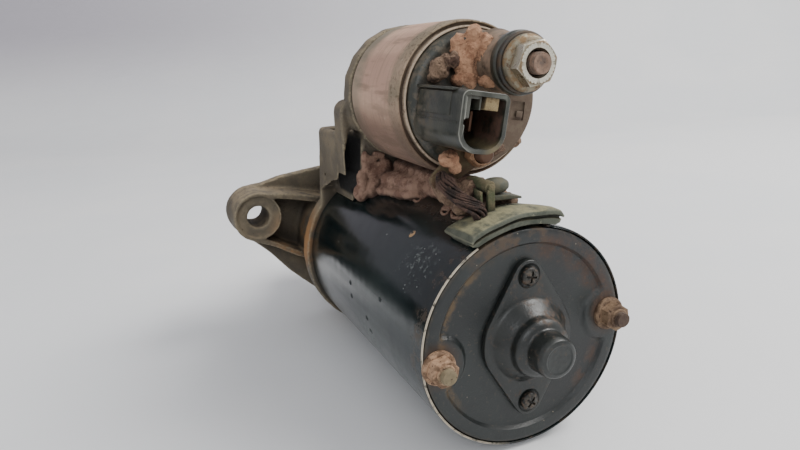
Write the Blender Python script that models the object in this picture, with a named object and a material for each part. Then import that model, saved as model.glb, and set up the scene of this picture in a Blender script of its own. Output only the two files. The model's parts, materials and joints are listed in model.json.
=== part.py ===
"""Planetary-reduction starter motor with a solenoid, as separate bodies.

The motor axis is the Y axis of the empty "starter". Its rear cover faces -Y, its drive nose +Y, and
the solenoid sits above it. Stations along Y are measured from the rear face of the rear cover.
"""

from math import acos, atan2, cos, pi, radians, sin, tan

import bmesh
import bpy
from mathutils import Vector
from mathutils.geometry import convex_hull_2d

MM = 0.001
GAP = 0.3 * MM  # between neighbours, which the real object presses or bolts together

# Facets round a circle
FINE = 40
ROUND = 28
MEDIUM = 20
SMALL = 14
TINY = 8

# Where the motor axis lies, so that the bottom centre of the whole box is the world origin.
AXIS_HEIGHT = 40.0 * MM
REAR_FACE_Y = -93.7 * MM

# Motor shell
YOKE_RADIUS = 38.0 * MM
YOKE_INSIDE = 35.5 * MM
YOKE_REAR = 3.9 * MM
YOKE_FRONT = 121.0 * MM
COVER_RADIUS = 37.4 * MM
COVER_THICKNESS = 3.6 * MM
RECESS_RADIUS = 32.0 * MM
RECESS_DEPTH = 1.2 * MM
BOLT_CIRCLE = 32.5 * MM
BOLT_TILT = radians(4.0)
BOLT_RADIUS = 2.4 * MM
BOLT_BOSS_RADIUS = 9.5 * MM

# Rear bearing cap
CAP_SCREW_Z = 21.9 * MM
CAP_SCREW_RADIUS = 1.4 * MM
CAP_WAIST_RADIUS = 16.5 * MM
CAP_TIP_RADIUS = 5.2 * MM
CAP_PLATE = 1.1 * MM
CAP_END = -17.6 * MM

# Rotor
SHAFT_RADIUS = 5.0 * MM
JOURNAL_RADIUS = 4.0 * MM
SHAFT_REAR = -8.0 * MM
COMMUTATOR_RADIUS = 14.0 * MM
COMMUTATOR_BARS = 20
COMMUTATOR_REAR = 14.0 * MM
COMMUTATOR_FRONT = 31.0 * MM
CORE_RADIUS = 27.8 * MM
CORE_SLOTS = 18
CORE_REAR = 38.0 * MM
CORE_FRONT = 84.0 * MM

# Planetary gears
MODULE = 1.1 * MM
SUN_TEETH = 12
PLANET_TEETH = 18
RING_TEETH = 48
ADDENDUM = 0.7
DEDENDUM = 1.25
PRESSURE_ANGLE = radians(20.0)
TOOTH_FILL = 0.46
GEAR_REAR = 97.0 * MM
GEAR_FRONT = 108.0 * MM
PLANET_ANGLES = [radians(90.0), radians(210.0), radians(330.0)]
PLANET_PIN_RADIUS = 3.0 * MM
DRIVE_SHAFT_RADIUS = 7.0 * MM

# Pinion, clutch and fork, at rest
PINION_TEETH = 10
PINION_MODULE = 2.1 * MM
CLUTCH_RADIUS = 20.0 * MM
SLEEVE_RADIUS = 11.0 * MM
COLLAR_RADIUS = 17.0 * MM
FORK_SLOT_Y = 131.2 * MM
PIVOT_Y = 131.0 * MM
PIVOT_Z = 47.0 * MM
FORK_TOP_Y = 126.0 * MM
FORK_END_Z = 9.0 * MM
FORK_PIN_RADIUS = 3.0 * MM

# Drive end housing
FLANGE_FACE = 156.0 * MM
FLANGE_THICKNESS = 6.0 * MM
RING_RADIUS = 40.0 * MM
PILOT_RADIUS = 34.8 * MM
EAR_X = 59.0 * MM
EAR_Z = 19.5 * MM
EAR_RADIUS = 13.4 * MM
EAR_BOSS_RADIUS = 10.3 * MM
EAR_HOLE_RADIUS = 5.25 * MM
EAR_NEAR_FACE = 134.0 * MM
EAR_WALL = 3.0 * MM
NOSE_END = 205.0 * MM
WEB_ROOT = 23.0 * MM
WEB_ROOT_RADIUS = 16.5 * MM
PLATE_REAR = FLANGE_FACE - FLANGE_THICKNESS
CHAMBER_HALF = 20.5 * MM
CHAMBER_TOP = 56.0 * MM
CHAMBER_FRONT = 148.0 * MM
WALL = 2.6 * MM
BONNET_HALF = 8.2 * MM
BONNET_TOP = 82.2 * MM
BONNET_FRONT = 136.3 * MM

# Solenoid
SOLENOID_Z = 74.7 * MM
SOLENOID_RADIUS = 26.8 * MM
SOLENOID_INSIDE = 24.4 * MM
SOLENOID_REAR = 35.0 * MM
SOLENOID_FRONT = 84.0 * MM
PLUNGER_RADIUS = 9.2 * MM
SPRING_REAR = 49.4 * MM
SPRING_LENGTH = 22.5 * MM

# Terminal cap, its studs and its plug socket
CAP_FACE = 31.5 * MM
CAP_FRONT = 39.6 * MM
CAP_ROOM_REAR = 34.0 * MM
CAP_ROOM_RADIUS = 21.3 * MM
STUD_X = 8.6 * MM
STUD_Z = 86.6 * MM
STUD_RADIUS = 3.9 * MM
STUD_BOSS_REAR = 16.0 * MM
MOTOR_STUD_X = -4.0 * MM
MOTOR_STUD_Z = 58.3 * MM
MOTOR_STUD_RADIUS = 2.9 * MM
STUD_HEAD = 1.0 * MM
PLUG_X = -14.3 * MM
PLUG_Z = 70.8 * MM
PLUG_TILT = radians(-10.4)
PLUG_HALF_WIDTH = 8.0 * MM
PLUG_HALF_HEIGHT = 9.1 * MM
PLUG_TOP_CORNER = 2.4 * MM
PLUG_BOTTOM_CORNER = 6.6 * MM
PLUG_MOUTH = 1.0 * MM
PLUG_FLOOR = 24.0 * MM
PLUG_WALL = 1.6 * MM

# Lead from the motor stud through the grommet
GROMMET_ANGLE = radians(98.0)
GROMMET_HALF = radians(19.0)
GROMMET_FRONT = 14.6 * MM
LEAD_RADIUS = 1.9 * MM
LEAD_X = -12.0 * MM
LEAD_Y = 8.0 * MM

LOOKS = {
    "painted_steel": ((0.018, 0.026, 0.028), 0.35, 0.0),
    "cast_aluminium": ((0.22, 0.18, 0.14), 0.75, 0.3),
    "dusty_steel": ((0.38, 0.26, 0.20), 0.7, 0.2),
    "black_plastic": ((0.03, 0.035, 0.035), 0.45, 0.0),
    "zinc_steel": ((0.55, 0.50, 0.40), 0.35, 0.9),
    "rusty_steel": ((0.35, 0.22, 0.14), 0.75, 0.3),
    "bright_steel": ((0.60, 0.60, 0.60), 0.3, 1.0),
    "rubber": ((0.10, 0.10, 0.08), 0.85, 0.0),
    "copper": ((0.60, 0.28, 0.15), 0.4, 1.0),
    "bronze": ((0.50, 0.32, 0.14), 0.45, 1.0),
    "magnet": ((0.06, 0.06, 0.06), 0.6, 0.2),
    "carbon": ((0.03, 0.03, 0.03), 0.7, 0.1),
    "lamination": ((0.25, 0.25, 0.26), 0.5, 0.9),
    "fibre": ((0.35, 0.20, 0.08), 0.7, 0.0),
    "nylon": ((0.55, 0.50, 0.40), 0.5, 0.0),
}


def material(look):
    """The Principled material of this name, made once."""
    if look in bpy.data.materials:
        return bpy.data.materials[look]
    colour, roughness, metallic = LOOKS[look]
    made = bpy.data.materials.new(look)
    made.use_nodes = True
    shader = made.node_tree.nodes["Principled BSDF"]
    shader.inputs["Base Color"].default_value = (*colour, 1.0)
    shader.inputs["Roughness"].default_value = roughness
    shader.inputs["Metallic"].default_value = metallic
    return made


def finish(name, bm, look, at=(0.0, 0.0, 0.0)):
    """Turns a bmesh in motor coordinates into an object whose origin is at `at`."""
    bmesh.ops.remove_doubles(bm, verts=bm.verts, dist=1e-7)
    bmesh.ops.recalc_face_normals(bm, faces=bm.faces)
    bmesh.ops.translate(bm, verts=bm.verts, vec=-Vector(at))
    mesh = bpy.data.meshes.new(name)
    bm.to_mesh(mesh)
    bm.free()
    mesh.shade_smooth()
    mesh.set_sharp_from_angle(angle=radians(35.0))
    mesh.materials.append(material(look))
    made = bpy.data.objects.new(name, mesh)
    bpy.context.collection.objects.link(made)
    made.parent = STARTER
    made.location = at
    return made


def turned(name, profile, look, sides=ROUND, x=0.0, z=0.0, at=(0.0, 0.0, 0.0)):
    """A body of revolution about the line through (x, z) along Y, from (radius, y) points.

    A profile that starts and ends on the axis is left open there; any other is closed into a ring.
    """
    bm = bmesh.new()
    verts = [bm.verts.new((radius, y, 0.0)) for radius, y in profile]
    edges = [bm.edges.new(pair) for pair in zip(verts, verts[1:])]
    if profile[0][0] > 0.0 or profile[-1][0] > 0.0:
        edges.append(bm.edges.new((verts[-1], verts[0])))
    bmesh.ops.spin(
        bm, geom=verts + edges, axis=(0.0, 1.0, 0.0), angle=2.0 * pi, steps=sides, use_merge=True
    )
    bmesh.ops.translate(bm, verts=bm.verts, vec=(x, 0.0, z))
    return finish(name, bm, look, at)


def rod(name, radius, y0, y1, look, sides=SMALL, x=0.0, z=0.0, at=(0.0, 0.0, 0.0)):
    return turned(name, [(0.0, y0), (radius, y0), (radius, y1), (0.0, y1)], look, sides, x, z, at)


def tube(name, outer, inner, y0, y1, look, sides=ROUND, x=0.0, z=0.0, at=(0.0, 0.0, 0.0)):
    profile = [(inner, y0), (outer, y0), (outer, y1), (inner, y1)]
    return turned(name, profile, look, sides, x, z, at)


AXES = {
    "X": lambda u, v, depth: (depth, u, v),
    "Y": lambda u, v, depth: (u, depth, v),
    "Z": lambda u, v, depth: (u, v, depth),
}


def extruded(name, outline, low, high, look, axis="Y", at=(0.0, 0.0, 0.0)):
    """A flat outline carried from low to high along an axis: (x, z) for Y, (y, z) for X, (x, y) for Z."""
    bm = bmesh.new()
    face = bm.faces.new([bm.verts.new(AXES[axis](u, v, low)) for u, v in outline])
    moved = bmesh.ops.extrude_face_region(bm, geom=[face])["geom"]
    shift = Vector(AXES[axis](0.0, 0.0, high - low))
    bmesh.ops.translate(bm, verts=[v for v in moved if isinstance(v, bmesh.types.BMVert)], vec=shift)
    return finish(name, bm, look, at)


def block(name, x, y, z, look="cast_aluminium", at=(0.0, 0.0, 0.0)):
    """A box from three (low, high) pairs."""
    outline = [(x[0], z[0]), (x[1], z[0]), (x[1], z[1]), (x[0], z[1])]
    return extruded(name, outline, y[0], y[1], look, "Y", at)


def swept(name, points, radius, look, sides=8, at=(0.0, 0.0, 0.0)):
    """A round wire along points, its section kept square to its path."""
    bm = bmesh.new()
    points = [Vector(point) for point in points]
    rings = []
    side = None
    for i, point in enumerate(points):
        along = (points[min(i + 1, len(points) - 1)] - points[max(i - 1, 0)]).normalized()
        guess = side if side is not None else along.orthogonal()
        side = (guess - along * guess.dot(along)).normalized()
        other = along.cross(side)
        turns = [2.0 * pi * k / sides for k in range(sides)]
        rings.append([bm.verts.new(point + radius * (side * cos(t) + other * sin(t))) for t in turns])
    for low, high in zip(rings, rings[1:]):
        for k in range(sides):
            after = (k + 1) % sides
            bm.faces.new((low[k], low[after], high[after], high[k]))
    bm.faces.new(list(reversed(rings[0])))
    bm.faces.new(rings[-1])
    return finish(name, bm, look, at)


def boolean(target, tools, operation):
    """One modifier for all the tools, so that their crossings are worked out together."""
    group = bpy.data.collections.new(f"{operation.lower()}_{target.name}")
    for tool in tools:
        group.objects.link(tool)
        tool.hide_render = True
        tool.display_type = "WIRE"
    modifier = target.modifiers.new(operation.title(), "BOOLEAN")
    modifier.operation = operation
    modifier.solver = "EXACT"
    modifier.operand_type = "COLLECTION"
    modifier.collection = group
    return target


def cut(target, *tools):
    return boolean(target, tools, "DIFFERENCE")


def join(target, *tools):
    return boolean(target, tools, "UNION")


def polar(radius, angle):
    return radius * cos(angle), radius * sin(angle)


def arc(x, z, radius, start, end, steps):
    turns = [start + (end - start) * i / steps for i in range(steps + 1)]
    return [(x + radius * cos(t), z + radius * sin(t)) for t in turns]


def ring(x, z, radius, steps=SMALL):
    return arc(x, z, radius, 0.0, 2.0 * pi, steps)[:-1]


def belt(circles, steps=MEDIUM):
    """The outline of a belt pulled round circles given as (x, z, radius)."""
    points = [point for x, z, r in circles for point in ring(x, z, r, steps)]
    return [points[i] for i in convex_hull_2d([Vector(point) for point in points])]


def sector(inner, outer, start, end, steps=10):
    """The outline of an annular sector round the motor axis."""
    return arc(0.0, 0.0, outer, start, end, steps) + arc(0.0, 0.0, inner, end, start, steps)


def bars_outline(radius, depth, count, share):
    """A round bar with `count` straight slots; share is the part of each pitch that stands full."""
    pitch = 2.0 * pi / count
    points = []
    for i in range(count):
        middle = i * pitch
        half = 0.5 * share * pitch
        points.append(polar(radius, middle - half))
        points.append(polar(radius, middle + half))
        points.append(polar(radius - depth, middle + half))
        points.append(polar(radius - depth, middle + pitch - half))
    return points


def gear_outline(teeth, module, phase, root, tip, fill, x=0.0, z=0.0):
    """Involute teeth; root and tip are radii and fill is the tooth's share of the pitch."""
    pitch_radius = 0.5 * teeth * module
    base = pitch_radius * cos(PRESSURE_ANGLE)
    at_pitch = fill * pi / teeth + tan(PRESSURE_ANGLE) - PRESSURE_ANGLE
    radii = [root, pitch_radius, tip]
    if teeth <= 12:
        radii.insert(1, max(base, root + 0.1 * module))
    halves = []
    for radius in radii:
        angle = acos(min(1.0, base / radius))
        halves.append(at_pitch - tan(angle) + angle)
    points = []
    for i in range(teeth):
        middle = phase + 2.0 * pi * i / teeth
        points += [polar(r, middle - h) for r, h in zip(radii, halves)]
        points += [polar(r, middle + h) for r, h in reversed(list(zip(radii, halves)))]
    return [(x + u, z + v) for u, v in points]


def hexagon(x, z, across_flats, turn=0.0):
    radius = 0.5 * across_flats / cos(radians(30.0))
    corners = [turn + radians(60.0 * i) for i in range(6)]
    return [(x + radius * cos(t), z + radius * sin(t)) for t in corners]


def bolt_places():
    """Right bolt, then left bolt, as (x, z)."""
    return [polar(BOLT_CIRCLE, BOLT_TILT), polar(BOLT_CIRCLE, BOLT_TILT + pi)]


def bolt_cutters(name, radius, y0, y1):
    places = enumerate(bolt_places())
    return [rod(f"{name}_{i}", radius, y0, y1, "rubber", TINY, x, z) for i, (x, z) in places]


def clear_scene():
    for old in list(bpy.data.objects):
        bpy.data.objects.remove(old, do_unlink=True)


def make_empty():
    empty = bpy.data.objects.new("starter", None)
    bpy.context.collection.objects.link(empty)
    empty.location = (0.0, REAR_FACE_Y, AXIS_HEIGHT)
    return empty


def grommet_slot():
    """The outline that the grommet's body needs in the yoke and the cover."""
    half = GROMMET_HALF + radians(0.5)
    return sector(33.0 * MM, 45.0 * MM, GROMMET_ANGLE - half, GROMMET_ANGLE + half)


def rear_end():
    """Rear cover, its bush and the small bearing cap."""
    edge = 1.4 * MM
    profile = [
        (6.3 * MM, 0.0),
        (COVER_RADIUS - edge, 0.0),
        (COVER_RADIUS - 0.4 * edge, 0.3 * edge),
        (COVER_RADIUS, edge),
        (COVER_RADIUS, COVER_THICKNESS),
        (35.2 * MM, COVER_THICKNESS),
        (35.2 * MM, 8.0 * MM),
        (33.8 * MM, 8.0 * MM),
        (33.8 * MM, COVER_THICKNESS),
        (9.5 * MM, COVER_THICKNESS),
        (9.5 * MM, 10.5 * MM),
        (6.3 * MM, 10.5 * MM),
    ]
    cover = turned("rear_cover", profile, "painted_steel", FINE)
    recess = rod("cut_recess", RECESS_RADIUS, -2.0 * MM, RECESS_DEPTH, "rubber", FINE)
    cut(recess, *bolt_cutters("keep_boss", BOLT_BOSS_RADIUS, -3.0 * MM, 3.0 * MM))
    tools = [recess]
    tools += bolt_cutters("cut_cover_bolt", BOLT_RADIUS + GAP, -3.0 * MM, 5.0 * MM)
    tools += bolt_cutters("cut_spigot_bolt", 4.0 * MM, COVER_THICKNESS - GAP, 9.0 * MM)
    for side in (-1.0, 1.0):
        name = f"cut_cover_screw_{side:+.0f}"
        radius = CAP_SCREW_RADIUS + GAP
        tools.append(rod(name, radius, -2.0 * MM, 5.0 * MM, "rubber", TINY, 0.0, side * CAP_SCREW_Z))
    tools.append(extruded("cut_cover_grommet", grommet_slot(), 2.4 * MM, 9.0 * MM, "rubber"))
    cut(cover, *tools)
    tube("rear_bush", 6.0 * MM, JOURNAL_RADIUS + GAP, 1.6 * MM, 10.2 * MM, "bronze", SMALL)


def cap_outline(shrink):
    waist = (0.0, 0.0, CAP_WAIST_RADIUS - shrink)
    tips = [(0.0, side * CAP_SCREW_Z, CAP_TIP_RADIUS - shrink) for side in (-1.0, 1.0)]
    return belt([waist, *tips])


def bearing_cap():
    plate_rear = -CAP_PLATE
    cap = extruded("bearing_cap", cap_outline(0.0), plate_rear, 0.0, "painted_steel")
    dome = [
        (0.0, CAP_END),
        (4.8 * MM, CAP_END),
        (6.6 * MM, CAP_END + 0.9 * MM),
        (7.3 * MM, CAP_END + 2.6 * MM),
        (7.3 * MM, -8.9 * MM),
        (9.2 * MM, -8.3 * MM),
        (10.0 * MM, -7.2 * MM),
        (10.2 * MM, -5.2 * MM),
        (12.4 * MM, -3.4 * MM),
        (13.6 * MM, -1.5 * MM),
        (13.6 * MM, -0.2 * MM),
        (0.0, -0.2 * MM),
    ]
    join(cap, turned("join_dome", dome, "painted_steel", MEDIUM))
    hollow = [
        (0.0, -15.6 * MM),
        (5.4 * MM, -15.6 * MM),
        (5.4 * MM, -7.0 * MM),
        (8.4 * MM, -6.4 * MM),
        (8.4 * MM, 1.0 * MM),
        (0.0, 1.0 * MM),
    ]
    cap_tools = [turned("cut_cap_hollow", hollow, "rubber", MEDIUM)]
    gasket = extruded("cap_gasket", cap_outline(0.6 * MM), GAP, RECESS_DEPTH - GAP, "rubber")
    gasket_tools = [rod("cut_gasket_middle", 11.0 * MM, -1.0 * MM, 3.0 * MM, "rubber", MEDIUM)]
    for side, place in ((1.0, "upper"), (-1.0, "lower")):
        z = side * CAP_SCREW_Z
        radius = CAP_SCREW_RADIUS + GAP
        cap_tools.append(rod(f"cut_cap_{place}", radius, -4.0 * MM, 1.0 * MM, "rubber", TINY, 0.0, z))
        gasket_tools.append(rod(f"cut_gasket_{place}", radius, -1.0 * MM, 3.0 * MM, "rubber", TINY, 0.0, z))
        cap_screw(place, z, plate_rear - GAP)
    cut(cap, *cap_tools)
    cut(gasket, *gasket_tools)


def cap_screw(place, z, seat):
    head = 1.6 * MM
    profile = [
        (0.0, seat - head),
        (1.9 * MM, seat - head),
        (2.8 * MM, seat - 0.7 * head),
        (3.1 * MM, seat - 0.3 * head),
        (3.1 * MM, seat),
        (CAP_SCREW_RADIUS, seat),
        (CAP_SCREW_RADIUS, 4.8 * MM),
        (0.0, 4.8 * MM),
    ]
    screw = turned(f"cap_screw_{place}", profile, "painted_steel", SMALL, 0.0, z)
    deep = (seat - head - 1.0 * MM, seat - 0.35 * head)
    arms = ((1.9 * MM, 0.35 * MM), (0.35 * MM, 1.9 * MM))
    cross = [
        block(f"cut_cross_{place}_{i}", (-wide, wide), deep, (z - tall, z + tall))
        for i, (wide, tall) in enumerate(arms)
    ]
    cut(screw, *cross)


def through_bolts():
    for place, (x, z) in zip(("right", "left"), bolt_places()):
        profile = [
            (0.0, -8.2 * MM),
            (1.9 * MM, -8.2 * MM),
            (2.5 * MM, -7.6 * MM),
            (2.5 * MM, -5.6 * MM),
            (3.4 * MM, -5.0 * MM),
            (3.4 * MM, -1.8 * MM),
            (5.7 * MM, -1.5 * MM),
            (5.7 * MM, -GAP),
            (BOLT_RADIUS, -GAP),
            (BOLT_RADIUS, 131.0 * MM),
            (0.0, 131.0 * MM),
        ]
        bolt = turned(f"through_bolt_{place}", profile, "rusty_steel", SMALL, x, z)
        hexes = hexagon(x, z, 8.4 * MM, BOLT_TILT)
        join(bolt, extruded(f"join_hex_{place}", hexes, -5.6 * MM, -0.8 * MM, "rusty_steel"))


def yoke():
    shell = tube("yoke", YOKE_RADIUS, YOKE_INSIDE, YOKE_REAR, YOKE_FRONT, "painted_steel", FINE)
    cut(shell, extruded("cut_yoke_grommet", grommet_slot(), 0.0, GROMMET_FRONT + 0.4 * MM, "rubber"))
    half = radians(32.0)
    for i in range(4):
        middle = BOLT_TILT + radians(45.0 + 90.0 * i)
        outline = sector(28.4 * MM, YOKE_INSIDE - GAP, middle - half, middle + half, 9)
        extruded(f"magnet_{i + 1}", outline, 36.0 * MM, 88.0 * MM, "magnet")


def grommet():
    body = sector(36.0 * MM, 41.0 * MM, GROMMET_ANGLE - GROMMET_HALF, GROMMET_ANGLE + GROMMET_HALF)
    made = extruded("grommet", body, 2.8 * MM, GROMMET_FRONT, "rubber")
    lip = sector(38.4 * MM, 43.2 * MM, GROMMET_ANGLE - radians(23.0), GROMMET_ANGLE + radians(21.0))
    join(made, extruded("join_grommet_lip", lip, -1.6 * MM, 18.0 * MM, "rubber"))
    groove = sector(40.3 * MM, 41.5 * MM, GROMMET_ANGLE - radians(25.0), GROMMET_ANGLE + radians(25.0))
    groove_cutter = extruded("cut_grommet_groove", groove, -3.0 * MM, -0.6 * MM, "rubber")
    around = ring(LEAD_X, LEAD_Y, LEAD_RADIUS + GAP, TINY)
    hole = extruded("cut_grommet_lead", around, 30.0 * MM, 50.0 * MM, "rubber", "Z")
    cut(made, groove_cutter, hole)


def rotor():
    """Shaft with its sun gear, laminated core, end turns and commutator; all turn together."""
    shaft_profile = [
        (0.0, SHAFT_REAR),
        (3.4 * MM, SHAFT_REAR),
        (JOURNAL_RADIUS, SHAFT_REAR + 0.6 * MM),
        (JOURNAL_RADIUS, 12.0 * MM),
        (SHAFT_RADIUS, 12.0 * MM),
        (SHAFT_RADIUS, GEAR_FRONT - 0.2 * MM),
        (0.0, GEAR_FRONT - 0.2 * MM),
    ]
    shaft = turned("rotor_shaft", shaft_profile, "bright_steel", SMALL)
    sun_pitch = 0.5 * SUN_TEETH * MODULE
    teeth = gear_outline(
        SUN_TEETH, MODULE, 0.0, sun_pitch - DEDENDUM * MODULE, sun_pitch + ADDENDUM * MODULE, TOOTH_FILL
    )
    join(shaft, extruded("join_sun_gear", teeth, 95.0 * MM, GEAR_FRONT, "bright_steel"))

    bars = bars_outline(COMMUTATOR_RADIUS, 0.8 * MM, COMMUTATOR_BARS, 0.84)
    commutator = extruded("commutator", bars, COMMUTATOR_REAR, COMMUTATOR_FRONT, "copper")
    bore = SHAFT_RADIUS + GAP
    cut(commutator, rod("cut_commutator_bore", bore, 10.0 * MM, 35.0 * MM, "rubber", SMALL))
    stack = bars_outline(CORE_RADIUS, 2.0 * MM, CORE_SLOTS, 0.78)
    core = extruded("rotor_core", stack, CORE_REAR, CORE_FRONT, "lamination")
    cut(core, rod("cut_core_bore", bore, 30.0 * MM, 90.0 * MM, "rubber", SMALL))
    ends = (("rear", COMMUTATOR_FRONT + GAP, CORE_REAR - GAP), ("front", CORE_FRONT + GAP, 91.0 * MM))
    for place, y0, y1 in ends:
        lobes = bars_outline(25.0 * MM, 1.4 * MM, CORE_SLOTS, 0.6)
        winding = extruded(f"winding_{place}", lobes, y0, y1, "copper")
        cut(winding, rod(f"cut_winding_{place}", 11.0 * MM, y0 - 2.0 * MM, y1 + 2.0 * MM, "rubber", SMALL))


def brush_gear():
    """Insulating plate with four boxes, and a brush and a spring in each."""
    plate_rear = 11.2 * MM
    plate_front = 13.2 * MM
    box_front = 25.0 * MM
    plate = tube("brush_plate", 34.6 * MM, 16.0 * MM, plate_rear, plate_front, "fibre", ROUND)
    boxes = []
    hollows = bolt_cutters("cut_plate_bolt", 3.2 * MM, 9.0 * MM, 27.0 * MM)
    for i in range(4):
        angle = BOLT_TILT + radians(45.0 + 90.0 * i)
        along = Vector(polar(1.0, angle))
        across = Vector((-along.y, along.x))

        def radial(inner, outer, half):
            ends = ((inner, -half), (outer, -half), (outer, half), (inner, half))
            return [tuple(along * r + across * s) for r, s in ends]

        wall = radial(17.0 * MM, 32.5 * MM, 5.4 * MM)
        boxes.append(extruded(f"join_box_{i}", wall, 12.5 * MM, box_front, "fibre"))
        hollow = radial(15.0 * MM, 31.0 * MM, 4.0 * MM)
        hollows.append(extruded(f"cut_box_{i}", hollow, 14.6 * MM, 23.4 * MM, "rubber"))
        brush = radial(COMMUTATOR_RADIUS + GAP, 26.0 * MM, 3.6 * MM)
        extruded(f"brush_{i + 1}", brush, 15.0 * MM, 23.0 * MM, "carbon")
        turns = 3
        per_turn = 8
        steps = per_turn * turns
        coil = []
        for k in range(steps + 1):
            turn = 2.0 * pi * k / per_turn
            out = 26.9 * MM + 3.2 * MM * k / steps
            flat = along * out + across * (2.4 * MM * cos(turn))
            coil.append((flat.x, 19.0 * MM + 2.4 * MM * sin(turn), flat.y))
        swept(f"brush_spring_{i + 1}", coil, 0.32 * MM, "bright_steel", 4)
    join(plate, *boxes)
    cut(plate, *hollows)


def planetary_set():
    plate = tube("gear_plate", 35.2 * MM, 8.2 * MM, 92.2 * MM, 93.8 * MM, "bright_steel", ROUND)
    cut(plate, *bolt_cutters("cut_gear_plate_bolt", 3.0 * MM, 90.0 * MM, 96.0 * MM))

    ring_pitch = 0.5 * RING_TEETH * MODULE
    profile = [
        (ring_pitch - 2.0 * MM, 94.1 * MM),
        (35.2 * MM, 94.1 * MM),
        (35.2 * MM, 97.0 * MM),
        (29.7 * MM, 97.0 * MM),
        (29.7 * MM, 110.0 * MM),
        (ring_pitch - 2.0 * MM, 110.0 * MM),
    ]
    ring = turned("ring_gear", profile, "nylon", ROUND)
    spaces = gear_outline(
        RING_TEETH,
        MODULE,
        pi / RING_TEETH,
        ring_pitch - ADDENDUM * MODULE,
        ring_pitch + DEDENDUM * MODULE,
        1.0 - TOOTH_FILL,
    )
    teeth_cutter = extruded("cut_ring_teeth", spaces, 90.0 * MM, 115.0 * MM, "rubber")
    cut(ring, teeth_cutter, *bolt_cutters("cut_ring_bolt", 3.0 * MM, 90.0 * MM, 98.0 * MM))

    planet_pitch = 0.5 * PLANET_TEETH * MODULE
    circle = 0.5 * (SUN_TEETH + PLANET_TEETH) * MODULE
    carrier_profile = [
        (0.0, GEAR_FRONT + 0.8 * MM),
        (22.0 * MM, GEAR_FRONT + 0.8 * MM),
        (22.0 * MM, GEAR_FRONT + 4.4 * MM),
        (DRIVE_SHAFT_RADIUS, GEAR_FRONT + 4.4 * MM),
        (DRIVE_SHAFT_RADIUS, 190.2 * MM),
        (6.0 * MM, 190.2 * MM),
        (6.0 * MM, NOSE_END - 3.0 * MM),
        (0.0, NOSE_END - 3.0 * MM),
    ]
    carrier = turned("drive_shaft", carrier_profile, "bright_steel", MEDIUM)
    pins = []
    for i, angle in enumerate(PLANET_ANGLES):
        x, z = polar(circle, angle)
        ends = (GEAR_REAR - 0.6 * MM, GEAR_FRONT + 2.0 * MM)
        pins.append(rod(f"join_pin_{i}", PLANET_PIN_RADIUS, *ends, "bright_steel", SMALL, x, z))
        teeth = gear_outline(
            PLANET_TEETH,
            MODULE,
            angle + pi / PLANET_TEETH,
            planet_pitch - DEDENDUM * MODULE,
            planet_pitch + ADDENDUM * MODULE,
            TOOTH_FILL,
            x,
            z,
        )
        at = (x, 0.0, z)
        planet = extruded(f"planet_gear_{i + 1}", teeth, GEAR_REAR, GEAR_FRONT, "bright_steel", "Y", at)
        bore = rod(f"cut_planet_{i}", PLANET_PIN_RADIUS + GAP, 90.0 * MM, 115.0 * MM, "rubber", SMALL, x, z)
        cut(planet, bore)
    join(carrier, *pins)


def clutch_and_pinion():
    bore = DRIVE_SHAFT_RADIUS + GAP
    slot_half = 3.4 * MM
    profile = [
        (bore, FORK_SLOT_Y - slot_half - 1.6 * MM),
        (COLLAR_RADIUS, FORK_SLOT_Y - slot_half - 1.6 * MM),
        (COLLAR_RADIUS, FORK_SLOT_Y - slot_half),
        (SLEEVE_RADIUS, FORK_SLOT_Y - slot_half),
        (SLEEVE_RADIUS, FORK_SLOT_Y + slot_half),
        (COLLAR_RADIUS, FORK_SLOT_Y + slot_half),
        (CLUTCH_RADIUS, 136.5 * MM),
        (CLUTCH_RADIUS, 146.0 * MM),
        (CLUTCH_RADIUS - 1.5 * MM, 147.5 * MM),
        (bore, 147.5 * MM),
    ]
    turned("clutch", profile, "bright_steel", MEDIUM)
    pitch = 0.5 * PINION_TEETH * PINION_MODULE
    teeth = gear_outline(
        PINION_TEETH, PINION_MODULE, 0.0, pitch - 1.0 * PINION_MODULE, pitch + 0.8 * PINION_MODULE, TOOTH_FILL
    )
    pinion = extruded("pinion", teeth, 159.0 * MM, 174.0 * MM, "bright_steel")
    join(pinion, rod("join_pinion_hub", 9.4 * MM, 147.8 * MM, 160.0 * MM, "bright_steel", MEDIUM))
    cut(pinion, rod("cut_pinion_bore", bore, 140.0 * MM, 180.0 * MM, "rubber", MEDIUM))
    tube("stop_ring", 9.5 * MM, bore, 188.6 * MM, 189.9 * MM, "bright_steel", SMALL)


def fork_lever():
    """Straddles the clutch sleeve below its pivot and hooks the plunger above it."""
    at = (0.0, PIVOT_Y, PIVOT_Z)
    hub = extruded("fork_lever", ring(PIVOT_Y, PIVOT_Z, 6.0 * MM), -16.0 * MM, 16.0 * MM, "nylon", "X", at)
    top = belt([(FORK_TOP_Y, SOLENOID_Z, 2.4 * MM), (PIVOT_Y, PIVOT_Z, 4.0 * MM)], SMALL)
    knob = ring(FORK_TOP_Y, SOLENOID_Z, 3.5 * MM)
    arms = [
        extruded("join_fork_top", top, -2.1 * MM, 2.1 * MM, "nylon", "X", at),
        extruded("join_fork_knob", knob, -2.4 * MM, 2.4 * MM, "nylon", "X", at),
    ]
    for i, side in enumerate((-1.0, 1.0)):
        near, far = sorted((side * 12.0 * MM, side * 15.9 * MM))
        tine = belt([(FORK_SLOT_Y, FORK_END_Z, 2.0 * MM), (PIVOT_Y, PIVOT_Z, 4.0 * MM)], SMALL)
        arms.append(extruded(f"join_tine_{i}", tine, near, far, "nylon", "X", at))
    join(hub, *arms)
    pin_hole = ring(PIVOT_Y, PIVOT_Z, FORK_PIN_RADIUS + GAP)
    cut(hub, extruded("cut_fork_pin", pin_hole, -20.0 * MM, 20.0 * MM, "rubber", "X", at))
    extruded("fork_pin", ring(PIVOT_Y, PIVOT_Z, FORK_PIN_RADIUS), -20.4 * MM, 20.4 * MM, "bright_steel", "X")


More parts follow.
